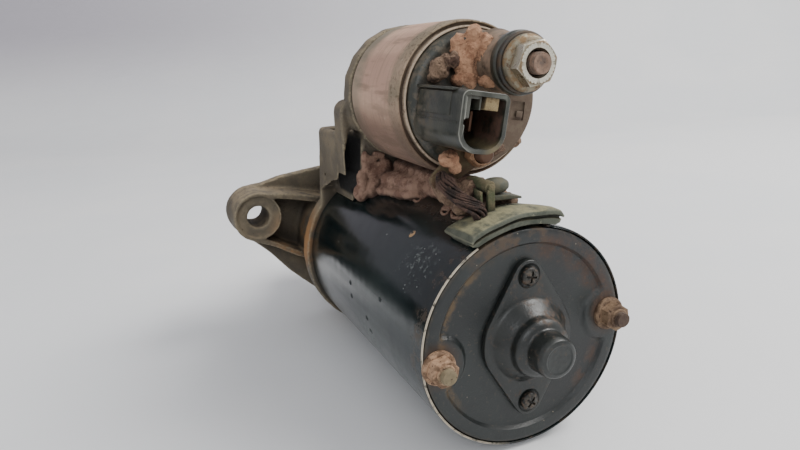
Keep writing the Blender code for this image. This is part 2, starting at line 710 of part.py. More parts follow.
def ear_places():
    return [(-EAR_X, EAR_Z), (EAR_X, -EAR_Z)]


def housing():
    """Aluminium drive end housing: bell, ears, fork chamber, solenoid seat and nose."""
    outside = [
        (0.0, 114.0 * MM),
        (PILOT_RADIUS, 114.0 * MM),
        (PILOT_RADIUS, YOKE_FRONT + GAP),
        (RING_RADIUS, YOKE_FRONT + GAP),
        (RING_RADIUS, 128.5 * MM),
        (36.0 * MM, 131.0 * MM),
        (32.0 * MM, FLANGE_FACE - 3.0 * MM),
        (32.0 * MM, FLANGE_FACE + 3.5 * MM),
        (25.0 * MM, FLANGE_FACE + 3.5 * MM),
        (24.0 * MM, 172.0 * MM),
        (16.5 * MM, 184.0 * MM),
        (15.5 * MM, NOSE_END - 2.0 * MM),
        (13.5 * MM, NOSE_END),
        (0.0, NOSE_END),
    ]
    body = turned("drive_end_housing", outside, "cast_aluminium", FINE)
    join(body, *ear_solids(), chamber_solid(), seat_solid(), arm_solid())
    cut(body, *ear_hollows(), *inner_hollows(), *screw_holes())


def ear_root(x, z):
    """Where an ear's web ends inside the bell, on the line from the ear to the motor axis."""
    lean = atan2(z, x)
    return polar(WEB_ROOT, lean)


def ear_solids():
    circles = [(0.0, 0.0, RING_RADIUS - 0.5 * MM)]
    circles += [(x, z, EAR_RADIUS) for x, z in ear_places()]
    made = [extruded("join_flange", belt(circles, ROUND), PLATE_REAR, FLANGE_FACE, "cast_aluminium")]
    for i, (x, z) in enumerate(ear_places()):
        outline = belt([(x, z, EAR_RADIUS - 0.4 * MM), (*ear_root(x, z), WEB_ROOT_RADIUS)], MEDIUM)
        ends = (EAR_NEAR_FACE, PLATE_REAR + 1.0 * MM)
        made.append(extruded(f"join_web_{i}", outline, *ends, "cast_aluminium"))
    return made


def ear_hollows():
    """The pocket beside each ear's boss, the spot face on the boss, and the bolt hole."""
    made = []
    for i, (x, z) in enumerate(ear_places()):
        inner = belt([(x, z, EAR_RADIUS - EAR_WALL), (*ear_root(x, z), WEB_ROOT_RADIUS - EAR_WALL)], MEDIUM)
        pocket = extruded(f"cut_pocket_{i}", inner, EAR_NEAR_FACE - 4.0 * MM, PLATE_REAR + 0.5 * MM, "rubber")
        radius = EAR_BOSS_RADIUS + 1.2 * MM
        boss = rod(f"keep_boss_{i}", radius, 125.0 * MM, 160.0 * MM, "rubber", MEDIUM, x, z)
        cut(pocket, boss, rod(f"keep_bell_{i}", 37.5 * MM, 120.0 * MM, 165.0 * MM, "rubber", ROUND))
        spot = (125.0 * MM, EAR_NEAR_FACE + 1.2 * MM)
        made.append(pocket)
        made.append(rod(f"cut_spot_{i}", EAR_BOSS_RADIUS, *spot, "rubber", MEDIUM, x, z))
        made.append(rod(f"cut_ear_{i}", EAR_HOLE_RADIUS, 120.0 * MM, 170.0 * MM, "rubber", SMALL, x, z))
    return made


def chamber_solid():
    """The housing's room for the fork: wide at the pivot, with a narrow bonnet over the plunger."""
    wide = [
        (-CHAMBER_HALF, 20.0 * MM),
        (CHAMBER_HALF, 20.0 * MM),
        (CHAMBER_HALF, CHAMBER_TOP - 5.0 * MM),
        (CHAMBER_HALF - 4.0 * MM, CHAMBER_TOP),
        (-CHAMBER_HALF + 4.0 * MM, CHAMBER_TOP),
        (-CHAMBER_HALF, CHAMBER_TOP - 5.0 * MM),
    ]
    rear = YOKE_FRONT + 2.0 * MM
    chamber = extruded("join_chamber", wide, rear, CHAMBER_FRONT, "cast_aluminium")
    corner = 3.5 * MM
    centre = BONNET_HALF - corner
    top = [(BONNET_HALF, CHAMBER_TOP - 3.0 * MM)]
    top += arc(centre, BONNET_TOP - corner, corner, 0.0, pi / 2.0, 4)
    top += arc(-centre, BONNET_TOP - corner, corner, pi / 2.0, pi, 4)
    top.append((-BONNET_HALF, CHAMBER_TOP - 3.0 * MM))
    return join(chamber, extruded("join_bonnet", top, rear + 0.5 * MM, BONNET_FRONT, "cast_aluminium"))


def seat_solid():
    """The disc that the solenoid bolts to, and the tunnel for its plunger."""
    profile = [
        (0.0, SOLENOID_FRONT + GAP),
        (27.0 * MM, SOLENOID_FRONT + GAP),
        (27.0 * MM, 92.0 * MM),
        (14.0 * MM, 92.0 * MM),
        (14.0 * MM, 124.5 * MM),
        (0.0, 124.5 * MM),
    ]
    return turned("join_seat", profile, "cast_aluminium", MEDIUM, 0.0, SOLENOID_Z)


def arm_solid():
    """The stepped arm between the seat and the bell, cleared where the yoke runs under it."""
    corner = 5.0 * MM
    upper_half = 29.8 * MM
    upper_top = 73.6 * MM
    upper = [(-upper_half, 36.0 * MM), (upper_half, 36.0 * MM)]
    upper += arc(upper_half - corner, upper_top - corner, corner, 0.0, pi / 2.0, 5)
    upper += arc(-upper_half + corner, upper_top - corner, corner, pi / 2.0, pi, 5)
    arm = extruded("join_arm", upper, 88.0 * MM, 98.0 * MM, "cast_aluminium")
    lower_half = 29.2 * MM
    foot_half = 31.5 * MM
    lower = [
        (-foot_half, 24.0 * MM),
        (foot_half, 24.0 * MM),
        (lower_half, 58.8 * MM),
        (lower_half - 1.0 * MM, 60.0 * MM),
        (-lower_half + 1.0 * MM, 60.0 * MM),
        (-lower_half, 58.8 * MM),
    ]
    join(arm, extruded("join_lower_step", lower, 97.0 * MM, 124.0 * MM, "cast_aluminium"))
    join(arm, block("join_arm_web", (-9.0 * MM, 9.0 * MM), (95.0 * MM, 126.0 * MM), (50.0 * MM, 72.0 * MM)))
    clear = rod("cut_over_yoke", YOKE_RADIUS + 0.5 * MM, 80.0 * MM, YOKE_FRONT + 0.9 * MM, "rubber", FINE)
    return cut(arm, clear, *arm_cutters())


def arm_cutters():
    """On each side the slanting slot through the arm, and the wedge that lifts its foot."""
    slot = [
        (25.0 * MM, 61.5 * MM),
        (21.2 * MM, 59.0 * MM),
        (24.6 * MM, 42.0 * MM),
        (24.6 * MM, 22.0 * MM),
        (30.0 * MM, 22.0 * MM),
        (30.0 * MM, 40.0 * MM),
    ]
    wedge = [
        (80.0 * MM, 10.0 * MM),
        (80.0 * MM, 44.0 * MM),
        (105.0 * MM, 38.0 * MM),
        (YOKE_FRONT + 0.2 * MM, 32.0 * MM),
        (YOKE_FRONT + 0.2 * MM, 10.0 * MM),
    ]
    made = []
    for side in (-1.0, 1.0):
        outline = [(side * x, z) for x, z in slot]
        made.append(extruded(f"cut_slot_{side:+.0f}", outline, 80.0 * MM, 117.0 * MM, "rubber"))
        near, far = sorted((side * 24.2 * MM, side * 40.0 * MM))
        made.append(extruded(f"cut_wedge_{side:+.0f}", wedge, near, far, "rubber", "X"))
    return made


def inner_hollows():
    inside = [
        (0.0, 110.0 * MM),
        (10.3 * MM, 110.0 * MM),
        (10.3 * MM, 125.0 * MM),
        (27.0 * MM, 125.0 * MM),
        (27.0 * MM, 150.0 * MM),
        (20.8 * MM, 153.0 * MM),
        (20.8 * MM, 171.0 * MM),
        (13.6 * MM, 182.0 * MM),
        (13.6 * MM, 190.5 * MM),
        (8.8 * MM, 190.5 * MM),
        (8.8 * MM, NOSE_END + 2.0 * MM),
        (0.0, NOSE_END + 2.0 * MM),
    ]
    made = [turned("cut_inside", inside, "rubber", ROUND)]
    inner_half = CHAMBER_HALF - WALL
    inner_top = CHAMBER_TOP - WALL
    chamber = [
        (-inner_half, 10.0 * MM),
        (inner_half, 10.0 * MM),
        (inner_half, inner_top - 1.5 * MM),
        (inner_half - 1.5 * MM, inner_top),
        (-inner_half + 1.5 * MM, inner_top),
        (-inner_half, inner_top - 1.5 * MM),
    ]
    rear = YOKE_FRONT + 3.0 * MM
    made.append(extruded("cut_chamber", chamber, rear, CHAMBER_FRONT - WALL, "rubber"))
    across = (-BONNET_HALF + WALL, BONNET_HALF - WALL)
    upwards = (inner_top - 2.0 * MM, BONNET_TOP - WALL)
    made.append(block("cut_bonnet", across, (rear - 0.4 * MM, BONNET_FRONT - WALL), upwards))
    made.append(rod("cut_tunnel", 10.2 * MM, 80.0 * MM, 126.0 * MM, "rubber", MEDIUM, 0.0, SOLENOID_Z))
    lever_room = ((-5.0 * MM, 5.0 * MM), (110.0 * MM, 127.0 * MM), (50.5 * MM, 75.0 * MM))
    made.append(block("cut_lever_room", *lever_room))
    window_y = (FLANGE_FACE + 6.0 * MM, 190.0 * MM)
    made.append(block("cut_window", (-16.0 * MM, 16.0 * MM), window_y, (-30.0 * MM, -5.0 * MM)))
    return made


def screw_holes():
    pin_hole = ring(PIVOT_Y, PIVOT_Z, FORK_PIN_RADIUS + GAP)
    made = [extruded("cut_housing_pin", pin_hole, -40.0 * MM, 40.0 * MM, "rubber", "X")]
    made += bolt_cutters("cut_housing_bolt", BOLT_RADIUS + GAP, 110.0 * MM, 131.6 * MM)
    for place, x, z in solenoid_screw_places():
        made.append(rod(f"cut_seat_{place}", 2.6 * MM, 80.0 * MM, 95.0 * MM, "rubber", TINY, x, z))
    return made


def bearings():
    tube("middle_bush", 10.0 * MM, DRIVE_SHAFT_RADIUS + GAP, 114.2 * MM, 124.8 * MM, "bronze", MEDIUM)
    tube("nose_bush", 8.5 * MM, 6.3 * MM, 190.8 * MM, NOSE_END - 0.6 * MM, "bronze", SMALL)


def solenoid_screw_places():
    reach = 20.0 * MM
    return [
        (place, reach * cos(radians(angle)), SOLENOID_Z + reach * sin(radians(angle)))
        for place, angle in (("left", 140.0), ("right", 40.0))
    ]


def solenoid():
    axis = {"x": 0.0, "z": SOLENOID_Z}
    wall = SOLENOID_RADIUS - SOLENOID_INSIDE
    can_profile = [
        (SOLENOID_INSIDE, SOLENOID_REAR + 0.7 * MM),
        (SOLENOID_INSIDE + 0.5 * MM, SOLENOID_REAR),
        (SOLENOID_RADIUS - 1.1 * MM, SOLENOID_REAR + 0.4 * MM),
        (SOLENOID_RADIUS - 0.4 * MM, SOLENOID_REAR + 2.0 * MM),
        (SOLENOID_RADIUS, SOLENOID_REAR + 5.0 * MM),
        (SOLENOID_RADIUS, SOLENOID_FRONT - 2.2 * MM),
        (SOLENOID_RADIUS - 2.0 * MM, SOLENOID_FRONT),
        (10.4 * MM, SOLENOID_FRONT),
        (10.4 * MM, SOLENOID_FRONT - wall),
        (SOLENOID_INSIDE, SOLENOID_FRONT - wall),
    ]
    can = turned("solenoid_can", can_profile, "dusty_steel", FINE, **axis)
    for place, x, z in solenoid_screw_places():
        cut(can, rod(f"cut_can_{place}", 2.6 * MM, 80.0 * MM, 90.0 * MM, "rubber", TINY, x, z))
        head = [
            (0.0, 81.0 * MM),
            (2.3 * MM, 81.0 * MM),
            (2.3 * MM, 92.3 * MM),
            (4.6 * MM, 92.3 * MM),
            (4.6 * MM, 95.2 * MM),
            (3.4 * MM, 96.2 * MM),
            (0.0, 96.2 * MM),
        ]
        turned(f"solenoid_screw_{place}", head, "zinc_steel", TINY, x, z)
    bobbin_profile = [
        (9.6 * MM, 49.0 * MM),
        (23.0 * MM, 49.0 * MM),
        (23.0 * MM, 50.4 * MM),
        (10.8 * MM, 50.4 * MM),
        (10.8 * MM, 79.0 * MM),
        (23.0 * MM, 79.0 * MM),
        (23.0 * MM, 80.4 * MM),
        (9.6 * MM, 80.4 * MM),
    ]
    turned("coil_bobbin", bobbin_profile, "nylon", MEDIUM, **axis)
    tube("solenoid_coil", 22.6 * MM, 11.1 * MM, 50.8 * MM, 78.6 * MM, "copper", MEDIUM, **axis)
    core_radius = SOLENOID_INSIDE - GAP
    tube("solenoid_core", core_radius, 2.3 * MM, 40.0 * MM, 48.0 * MM, "bright_steel", MEDIUM, **axis)
    moving_plunger(axis)
    terminal_cap(axis)


def moving_plunger(axis):
    eye_front = FORK_TOP_Y + 7.6 * MM
    eye_rear = FORK_TOP_Y - 7.6 * MM
    profile = [
        (0.0, 73.0 * MM),
        (6.4 * MM, 73.0 * MM),
        (6.4 * MM, 60.0 * MM),
        (PLUNGER_RADIUS, 60.0 * MM),
        (PLUNGER_RADIUS, 93.0 * MM),
        (4.0 * MM, 94.5 * MM),
        (4.0 * MM, eye_rear + 1.0 * MM),
        (0.0, eye_rear + 1.0 * MM),
    ]
    plunger = turned("plunger", profile, "bright_steel", MEDIUM, **axis)
    tall = (SOLENOID_Z - 4.8 * MM, SOLENOID_Z + 4.8 * MM)
    eye = block("join_plunger_eye", (-5.0 * MM, 5.0 * MM), (eye_rear, eye_front), tall)
    join(plunger, eye)
    room = 5.4 * MM
    slot = block(
        "cut_plunger_slot",
        (-2.8 * MM, 2.8 * MM),
        (FORK_TOP_Y - room, FORK_TOP_Y + room),
        (SOLENOID_Z - 9.0 * MM, SOLENOID_Z + 9.0 * MM),
    )
    cut(plunger, slot)
    turns = 5
    per_turn = 12
    steps = turns * per_turn
    helix = []
    for k in range(steps + 1):
        turn = 2.0 * pi * k / per_turn
        y = SPRING_REAR + SPRING_LENGTH * k / steps
        helix.append((4.9 * MM * cos(turn), y, SOLENOID_Z + 4.9 * MM * sin(turn)))
    swept("return_spring", helix, 0.7 * MM, "bright_steel", 5)
    contact_rod = [
        (0.0, 38.0 * MM),
        (1.9 * MM, 38.0 * MM),
        (1.9 * MM, 58.0 * MM),
        (0.0, 58.0 * MM),
    ]
    rod_body = turned("join_contact_rod", contact_rod, "nylon", TINY, **axis)
    middle = Vector((0.5 * (STUD_X + MOTOR_STUD_X), 0.5 * (STUD_Z + MOTOR_STUD_Z)))
    reach = 0.5 * (Vector((STUD_X, STUD_Z)) - Vector((MOTOR_STUD_X, MOTOR_STUD_Z)))
    ends = [(*(middle + reach * side), 4.5 * MM) for side in (-0.9, 0.9)]
    join(extruded("contact_bridge", belt(ends, TINY), 37.5 * MM, 39.4 * MM, "copper"), rod_body)


def terminal_cap(axis):
    """Moulded cap with the plug socket, and the two studs that the contact bridge joins."""
    edge_radius = SOLENOID_INSIDE - GAP
    profile = [
        (0.0, CAP_FACE),
        (21.6 * MM, CAP_FACE),
        (23.2 * MM, CAP_FACE + 1.3 * MM),
        (edge_radius, CAP_FACE + 3.3 * MM),
        (edge_radius, CAP_FRONT),
        (0.0, CAP_FRONT),
    ]
    cap = turned("terminal_cap", profile, "black_plastic", ROUND, **axis)
    boss_front = CAP_FACE + 1.0 * MM
    collar_front = STUD_BOSS_REAR + 2.6 * MM
    boss = rod("join_stud_boss", 9.4 * MM, collar_front, boss_front, "black_plastic", MEDIUM, STUD_X, STUD_Z)
    collar = [
        (0.0, STUD_BOSS_REAR),
        (10.3 * MM, STUD_BOSS_REAR),
        (10.3 * MM, collar_front),
        (9.4 * MM, collar_front + 0.8 * MM),
        (0.0, collar_front + 0.8 * MM),
    ]
    plug = extruded("join_plug", plug_outline(0.0, SMALL), PLUG_MOUTH, boss_front, "black_plastic")
    join(cap, boss, turned("join_collar", collar, "black_plastic", MEDIUM, STUD_X, STUD_Z), plug)
    socket_ends = (PLUG_MOUTH - 2.0 * MM, PLUG_FLOOR)
    hollows = [
        extruded("cut_plug", plug_outline(PLUG_WALL, TINY), *socket_ends, "rubber"),
        rod("cut_cap_room", CAP_ROOM_RADIUS, CAP_ROOM_REAR, CAP_FRONT + 2.0 * MM, "rubber", MEDIUM, **axis),
    ]
    half = (0.4 * MM, 3.1 * MM)
    hole = plug_rectangle(half[0] + GAP, half[1] + GAP)
    hollows.append(extruded("cut_tab_hole", hole, PLUG_FLOOR - 4.0 * MM, CAP_ROOM_REAR + 2.0 * MM, "rubber"))
    extruded("plug_tab", plug_rectangle(*half), 9.0 * MM, CAP_ROOM_REAR - 0.4 * MM, "copper")
    hollows.append(stud("battery_stud", STUD_X, STUD_Z, STUD_RADIUS, 5.0 * MM, 5.8 * MM))
    hollows.append(stud("motor_stud", MOTOR_STUD_X, MOTOR_STUD_Z, MOTOR_STUD_RADIUS, 17.0 * MM, 4.2 * MM))
    cut(cap, *hollows)
    fastened_leads()


def on_plug(across, up):
    """Where a place in the tilted plug's own directions lies, as (x, z)."""
    return (
        PLUG_X + across * cos(PLUG_TILT) - up * sin(PLUG_TILT),
        PLUG_Z + across * sin(PLUG_TILT) + up * cos(PLUG_TILT),
    )


def plug_outline(inset, steps):
    """The plug's outline, flat on top and round below, or the same moved inwards by inset."""
    circles = []
    for up, corner in ((1.0, PLUG_TOP_CORNER), (-1.0, PLUG_BOTTOM_CORNER)):
        radius = max(corner - inset, 0.9 * MM)
        reach = PLUG_HALF_WIDTH - inset - radius
        height = up * (PLUG_HALF_HEIGHT - inset - radius)
        circles += [(*on_plug(side * reach, height), radius) for side in (-1.0, 1.0)]
    return belt(circles, steps)


def plug_rectangle(half_width, half_height):
    corners = ((-1.0, -1.0), (1.0, -1.0), (1.0, 1.0), (-1.0, 1.0))
    return [on_plug(across * half_width, up * half_height) for across, up in corners]


def stud(name, x, z, radius, tip, head_radius):
    """A contact stud; returns the cutter for its hole in the cap."""
    head_rear = CAP_ROOM_REAR + GAP
    profile = [
        (0.0, tip),
        (radius - 0.6 * MM, tip),
        (radius, tip + 0.8 * MM),
        (radius, head_rear),
        (head_radius, head_rear),
        (head_radius, head_rear + STUD_HEAD),
        (0.0, head_rear + STUD_HEAD),
    ]
    turned(name, profile, "copper", SMALL, x, z)
    return rod(f"cut_{name}", radius + GAP, 10.0 * MM, CAP_ROOM_REAR + 2.0 * MM, "rubber", SMALL, x, z)


def nut(name, x, z, across, bore, hex_low, hex_high, flange_radius, look):
    """A flange nut: the flange is at hex_high, towards the cap."""
    made = extruded(name, hexagon(x, z, across, radians(12.0)), hex_low, hex_high, look)
    flange = rod(f"join_{name}", flange_radius, hex_high - 0.6 * MM, hex_high + 1.2 * MM, look, 24, x, z)
    join(made, flange)
    cut(made, rod(f"cut_{name}_bore", bore, hex_low - 3.0 * MM, hex_high + 4.0 * MM, "rubber", SMALL, x, z))


def fastened_leads():
    """Nuts and washer on the studs, and the lead that runs from the motor stud into the yoke."""
    bore = STUD_RADIUS + GAP
    nut("battery_nut", STUD_X, STUD_Z, 13.0 * MM, bore, 7.0 * MM, 12.3 * MM, 8.8 * MM, "zinc_steel")
    washer_ends = (13.8 * MM, STUD_BOSS_REAR - GAP)
    tube("battery_washer", 9.9 * MM, bore, *washer_ends, "rusty_steel", MEDIUM, STUD_X, STUD_Z)
    bore = MOTOR_STUD_RADIUS + GAP
    place = (MOTOR_STUD_X, MOTOR_STUD_Z)
    nut("motor_nut", *place, 8.0 * MM, bore, 20.0 * MM, 24.4 * MM, 4.8 * MM, "rusty_steel")
    lug_rear = 26.2 * MM
    lug_front = 28.0 * MM
    eye = (*place, 5.2 * MM)
    outline = belt([eye, (-16.5 * MM, 50.0 * MM, 3.4 * MM)], SMALL)
    lug = extruded("lead_lug", outline, lug_rear, lug_front, "copper")
    cut(lug, rod("cut_lug_eye", bore, 23.0 * MM, 31.0 * MM, "rubber", SMALL, *place))
    points = [
        (-17.6 * MM, lug_rear - LEAD_RADIUS - GAP, 52.6 * MM),
        (-18.2 * MM, 20.0 * MM, 51.0 * MM),
        (-17.4 * MM, 15.0 * MM, 48.6 * MM),
        (-14.8 * MM, 10.6 * MM, 46.4 * MM),
        (LEAD_X - 0.5 * MM, LEAD_Y, 44.0 * MM),
        (LEAD_X, LEAD_Y, 41.0 * MM),
        (LEAD_X, LEAD_Y, 29.5 * MM),
    ]
    swept("motor_lead", points, LEAD_RADIUS, "copper", TINY)


def build():
    rear_end()
    bearing_cap()
    through_bolts()
    yoke()
    grommet()
    rotor()
    brush_gear()
    planetary_set()
    clutch_and_pinion()
    fork_lever()
    housing()
    bearings()
    solenoid()


clear_scene()
STARTER = make_empty()
build()
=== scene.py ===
"""Looks for the starter motor: smooth outer pieces, dried clay, weathered materials, stage and camera.

Everything is laid out in the motor's own millimetres: the motor's axis is the line x = z = 0,
y = 0 is the rear cover's face and y grows towards the drive nose.
"""

import json
from contextlib import contextmanager
from math import ceil, cos, degrees, hypot, pi, radians, sin

import bmesh
import bpy
from mathutils import Euler, Matrix, Vector, noise


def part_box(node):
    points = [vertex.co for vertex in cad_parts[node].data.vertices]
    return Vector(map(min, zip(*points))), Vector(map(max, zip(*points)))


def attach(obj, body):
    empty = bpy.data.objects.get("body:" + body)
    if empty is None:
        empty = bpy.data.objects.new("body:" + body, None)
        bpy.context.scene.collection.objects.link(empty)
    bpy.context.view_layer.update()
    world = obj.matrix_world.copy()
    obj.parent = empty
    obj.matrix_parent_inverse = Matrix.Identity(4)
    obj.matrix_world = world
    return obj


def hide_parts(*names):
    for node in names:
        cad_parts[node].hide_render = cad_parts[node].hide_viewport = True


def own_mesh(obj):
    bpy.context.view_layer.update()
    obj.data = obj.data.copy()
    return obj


MM = 0.001
# Places in the motor's own millimetres; pairs are (x, z).
YOKE_REAR = 3.9
YOKE_RADIUS = 38
CAP_SCREW_Z = 21.9
BOLTS = ((-32.4, -2.3), (32.4, 2.3))
EAR = (59, 19.5)
SOLENOID_Z = 74.7
STUD = (8.6, 86.6)
MOTOR_STUD = (-4, 58.3)
PLUG = (-14.3, 70.8)
PLUG_TILT = radians(-10.4)
GROMMET_ANGLE = 98
GROMMET_HALF = 19
# The casting's remesh: voxel in mm and the most triangles kept.
CAST_VOXEL = 0.75
CAST_TRIANGLES = 150000
# The stage, in metres, and the camera.
FLAG = (0.02, 0.34, -0.40, 0.06, 0.072)
WORLD_COLOUR = (0.9, 0.895, 0.91, 1)
WORLD_STRENGTH = 0.93
CAMERA_AZIMUTH = radians(-22.43)
CAMERA_HEIGHT = radians(15.26)
CAMERA_ROLL = -0.0499164
CAMERA_PLACE = (-0.11121, -0.25970, 0.13377)
LENS = 29.55
SENSOR = 36

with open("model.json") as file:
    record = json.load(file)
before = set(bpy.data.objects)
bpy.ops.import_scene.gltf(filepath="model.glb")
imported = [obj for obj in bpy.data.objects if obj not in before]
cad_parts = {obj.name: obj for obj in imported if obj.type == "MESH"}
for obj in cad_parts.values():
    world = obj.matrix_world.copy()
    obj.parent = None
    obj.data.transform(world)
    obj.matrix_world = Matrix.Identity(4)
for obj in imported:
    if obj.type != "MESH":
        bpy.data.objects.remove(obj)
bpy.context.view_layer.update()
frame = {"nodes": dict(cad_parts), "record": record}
nodes = frame["nodes"]
yoke_low, yoke_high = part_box("yoke")
ORIGIN = 0.5 * (yoke_low + yoke_high)
ORIGIN.y = yoke_low.y - YOKE_REAR * MM
TO_WORLD = Matrix.Translation(ORIGIN) @ Matrix.Scale(MM, 4)


# ---------------------------------------------------------------- materials


def linear(colour, share=1):
    """The linear values of an 8-bit sRGB colour, times a factor. A linear colour stays as it is."""
    if len(colour) == 4:
        return colour
    parts = [part / 255 for part in colour]
    parts = [part / 12.92 if part <= 0.04045 else ((part + 0.055) / 1.055) ** 2.4 for part in parts]
    return (*(min(1, share * part) for part in parts), 1)


class Look:
    """A material built up in layers, each one a mask with its own colour, roughness and height."""

    def __init__(self, name, colour, roughness, metallic=0):
        self.material = bpy.data.materials.new(name)
        self.material.use_nodes = True
        self.tree = self.material.node_tree
        self.shader = self.tree.nodes["Principled BSDF"]
        texture = self.add("ShaderNodeTexCoord").outputs["Object"]
        moved = self.add("ShaderNodeVectorMath", {0: texture, 1: ORIGIN}, operation="SUBTRACT")
        settings = {0: moved.outputs[0], "Scale": 1 / MM}
        self.place = self.add("ShaderNodeVectorMath", settings, operation="SCALE").outputs[0]
        self.x, self.y, self.z = self.add("ShaderNodeSeparateXYZ", {0: self.place}).outputs
        self.colour = linear(colour)
        self.roughness = roughness
        self.metallic = metallic
        self.height = None

    def add(self, kind, inputs=None, **settings):
        made = self.tree.nodes.new(kind)
        for key, value in settings.items():
            setattr(made, key, value)
        for key, value in (inputs or {}).items():
            self.feed(made.inputs[key], value)
        return made

    def feed(self, socket, value):
        if isinstance(value, bpy.types.NodeSocket):
            self.tree.links.new(value, socket)
        else:
            socket.default_value = value

    def math(self, operation, a, b=0):
        return self.add("ShaderNodeMath", {0: a, 1: b}, operation=operation).outputs[0]

    def times(self, *masks):
        product = masks[0]
        for mask in masks[1:]:
            product = self.math("MULTIPLY", product, mask)
        return product

    def without(self, mask):
        return self.math("SUBTRACT", 1, mask)

    def either(self, *masks):
        most = masks[0]
        for mask in masks[1:]:
            most = self.math("MAXIMUM", most, mask)
        return most

    def step(self, value, low, high):
        """0 below low and 1 above high, smooth between; the other way round when low > high."""
        if low > high:
            return self.without(self.step(value, high, low))
        limits = {"Value": value, "From Min": low, "From Max": high}
        made = self.add("ShaderNodeMapRange", limits, interpolation_type="SMOOTHSTEP")
        return made.outputs["Result"]

    def band(self, value, low, high, soft):
        rising = self.step(value, low - soft, low + soft)
        falling = self.step(value, high + soft, high - soft)
        return self.times(rising, falling)

    def noise(self, size, detail=4, rough=0.6, stretch=(1, 1, 1), seed=0):
        """Fractal noise round 0.5, with features about size mm across."""
        scale = [part / size for part in stretch]
        moved = {"Vector": self.place, "Location": (seed, 0.7 * seed, -seed), "Scale": scale}
        vector = self.add("ShaderNodeMapping", moved).outputs[0]
        settings = {"Vector": vector, "Scale": 1, "Detail": detail, "Roughness": rough}
        return self.add("ShaderNodeTexNoise", settings).outputs["Fac"]

    def patches(self, low, high, *settings, **named):
        """Patches where the noise with these settings is above high, fading out to low."""
        return self.step(self.noise(*settings, **named), low, high)

    def cells(self, size, seed=0, feature="F1"):
        moved = {"Vector": self.place, "Location": (seed, seed, seed), "Scale": [1 / size] * 3}
        vector = self.add("ShaderNodeMapping", moved).outputs[0]
        settings = {"Vector": vector, "Scale": 1}
        return self.add("ShaderNodeTexVoronoi", settings, feature=feature).outputs["Distance"]

    def specks(self, size, width, seed=0):
        """Small round spots, at most one in each cell of size mm."""
        return self.step(self.cells(size, seed), width / size, 0.5 * width / size)

    def scratches(self, length, width, turn=(0, 0, 0), seed=0):
        """Fine short lines along one direction, turned by angles in degrees."""
        turned = {"Vector": self.place, "Rotation": [radians(part) for part in turn]}
        vector = self.add("ShaderNodeMapping", turned, vector_type="TEXTURE").outputs[0]
        scale = {"Vector": vector, "Location": (seed, -seed, seed), "Scale": (0.6, 1 / length, 0.6)}
        stretched = self.add("ShaderNodeMapping", scale).outputs[0]
        cells = self.add("ShaderNodeTexVoronoi", {"Vector": stretched, "Scale": 1}, feature="F1")
        line = self.step(cells.outputs["Distance"], width, 0.4 * width)
        return self.times(line, self.patches(0.46, 0.58, 0.8 * length, 3, 0.6, seed=seed + 5))

    def radius(self, x=0, z=0):
        """Distance from the line along Y through (x, z)."""
        sides = {0: self.math("SUBTRACT", self.x, x), 2: self.math("SUBTRACT", self.z, z)}
        flat = self.add("ShaderNodeCombineXYZ", sides).outputs[0]
        return self.add("ShaderNodeVectorMath", {0: flat}, operation="LENGTH").outputs["Value"]

    def angle(self, z=0, turn=0):
        """Degrees round the axis along Y at height z, counted from the direction turn, -180 to 180."""
        up = self.math("SUBTRACT", self.z, z)
        c, s = cos(radians(turn)), sin(radians(turn))
        flat = self.math("ADD", self.times(self.x, c), self.times(up, s))
        side = self.math("SUBTRACT", self.times(up, c), self.times(self.x, s))
        return self.times(self.math("ARCTAN2", side, flat), degrees(1))

    def sector(self, turn, low, high, soft, z=0):
        """A wedge round the axis at height z, from low to high degrees off the direction turn."""
        return self.band(self.angle(z, turn), low, high, soft)

    def spot(self, centre, reach, soft=0.5):
        settings = {0: self.place, 1: centre}
        away = self.add("ShaderNodeVectorMath", settings, operation="DISTANCE").outputs["Value"]
        return self.step(away, reach, reach * (1 - soft))

    def wobbly(self, value, size, amount, seed=0):
        """The value with noise added, so that a mask cut from it has a ragged edge."""
        off = self.math("SUBTRACT", self.noise(size, 5, 0.65, seed=seed), 0.5)
        return self.math("ADD", value, self.times(off, amount))

    def worn(self, low=0.51, high=0.56):
        """Outer edges and corners."""
        return self.step(self.add("ShaderNodeNewGeometry").outputs["Pointiness"], low, high)

    def crease_dirt_and_shade(self, distance):
        """Creases and corners closer than distance mm to other surfaces, where shade falls. Darker layers
        over this mask are painted shade, lighter ones are dirt.
        """
        open_sky = self.add("ShaderNodeAmbientOcclusion", {"Distance": distance * MM}, samples=6)
        return self.step(open_sky.outputs["AO"], 0.85, 0.4)

    def facing_up(self, low=0.2, high=0.9):
        normal = self.add("ShaderNodeNewGeometry").outputs["Normal"]
        return self.step(self.add("ShaderNodeSeparateXYZ", {0: normal}).outputs[2], low, high)

    def mixed(self, kind, mask, under, over):
        first, second, out = (6, 7, 2) if kind == "RGBA" else (2, 3, 0)
        inputs = {0: mask, first: under, second: over}
        return self.add("ShaderNodeMix", inputs, data_type=kind).outputs[out]

    def layer(self, mask, colour=None, roughness=None, metallic=None, height=0):
        """Adds a layer over the ones before; several masks are multiplied, heights add up in mm."""
        if isinstance(mask, tuple):
            mask = self.times(*mask)
        if colour is not None:
            self.colour = self.mixed("RGBA", mask, self.colour, linear(colour))
        if roughness is not None:
            self.roughness = self.mixed("FLOAT", mask, self.roughness, roughness)
        if metallic is not None:
            self.metallic = self.mixed("FLOAT", mask, self.metallic, metallic)
        if height:
            raised = self.times(mask, height)
            self.height = raised if self.height is None else self.math("ADD", self.height, raised)
        return self

    def done(self):
        self.feed(self.shader.inputs["Base Color"], self.colour)
        self.feed(self.shader.inputs["Roughness"], self.roughness)
        self.feed(self.shader.inputs["Metallic"], self.metallic)
        if self.height is not None:
            bump = self.add("ShaderNodeBump", {"Height": self.height, "Distance": MM, "Strength": 1})
            self.feed(self.shader.inputs["Normal"], bump.outputs[0])
        return self.material


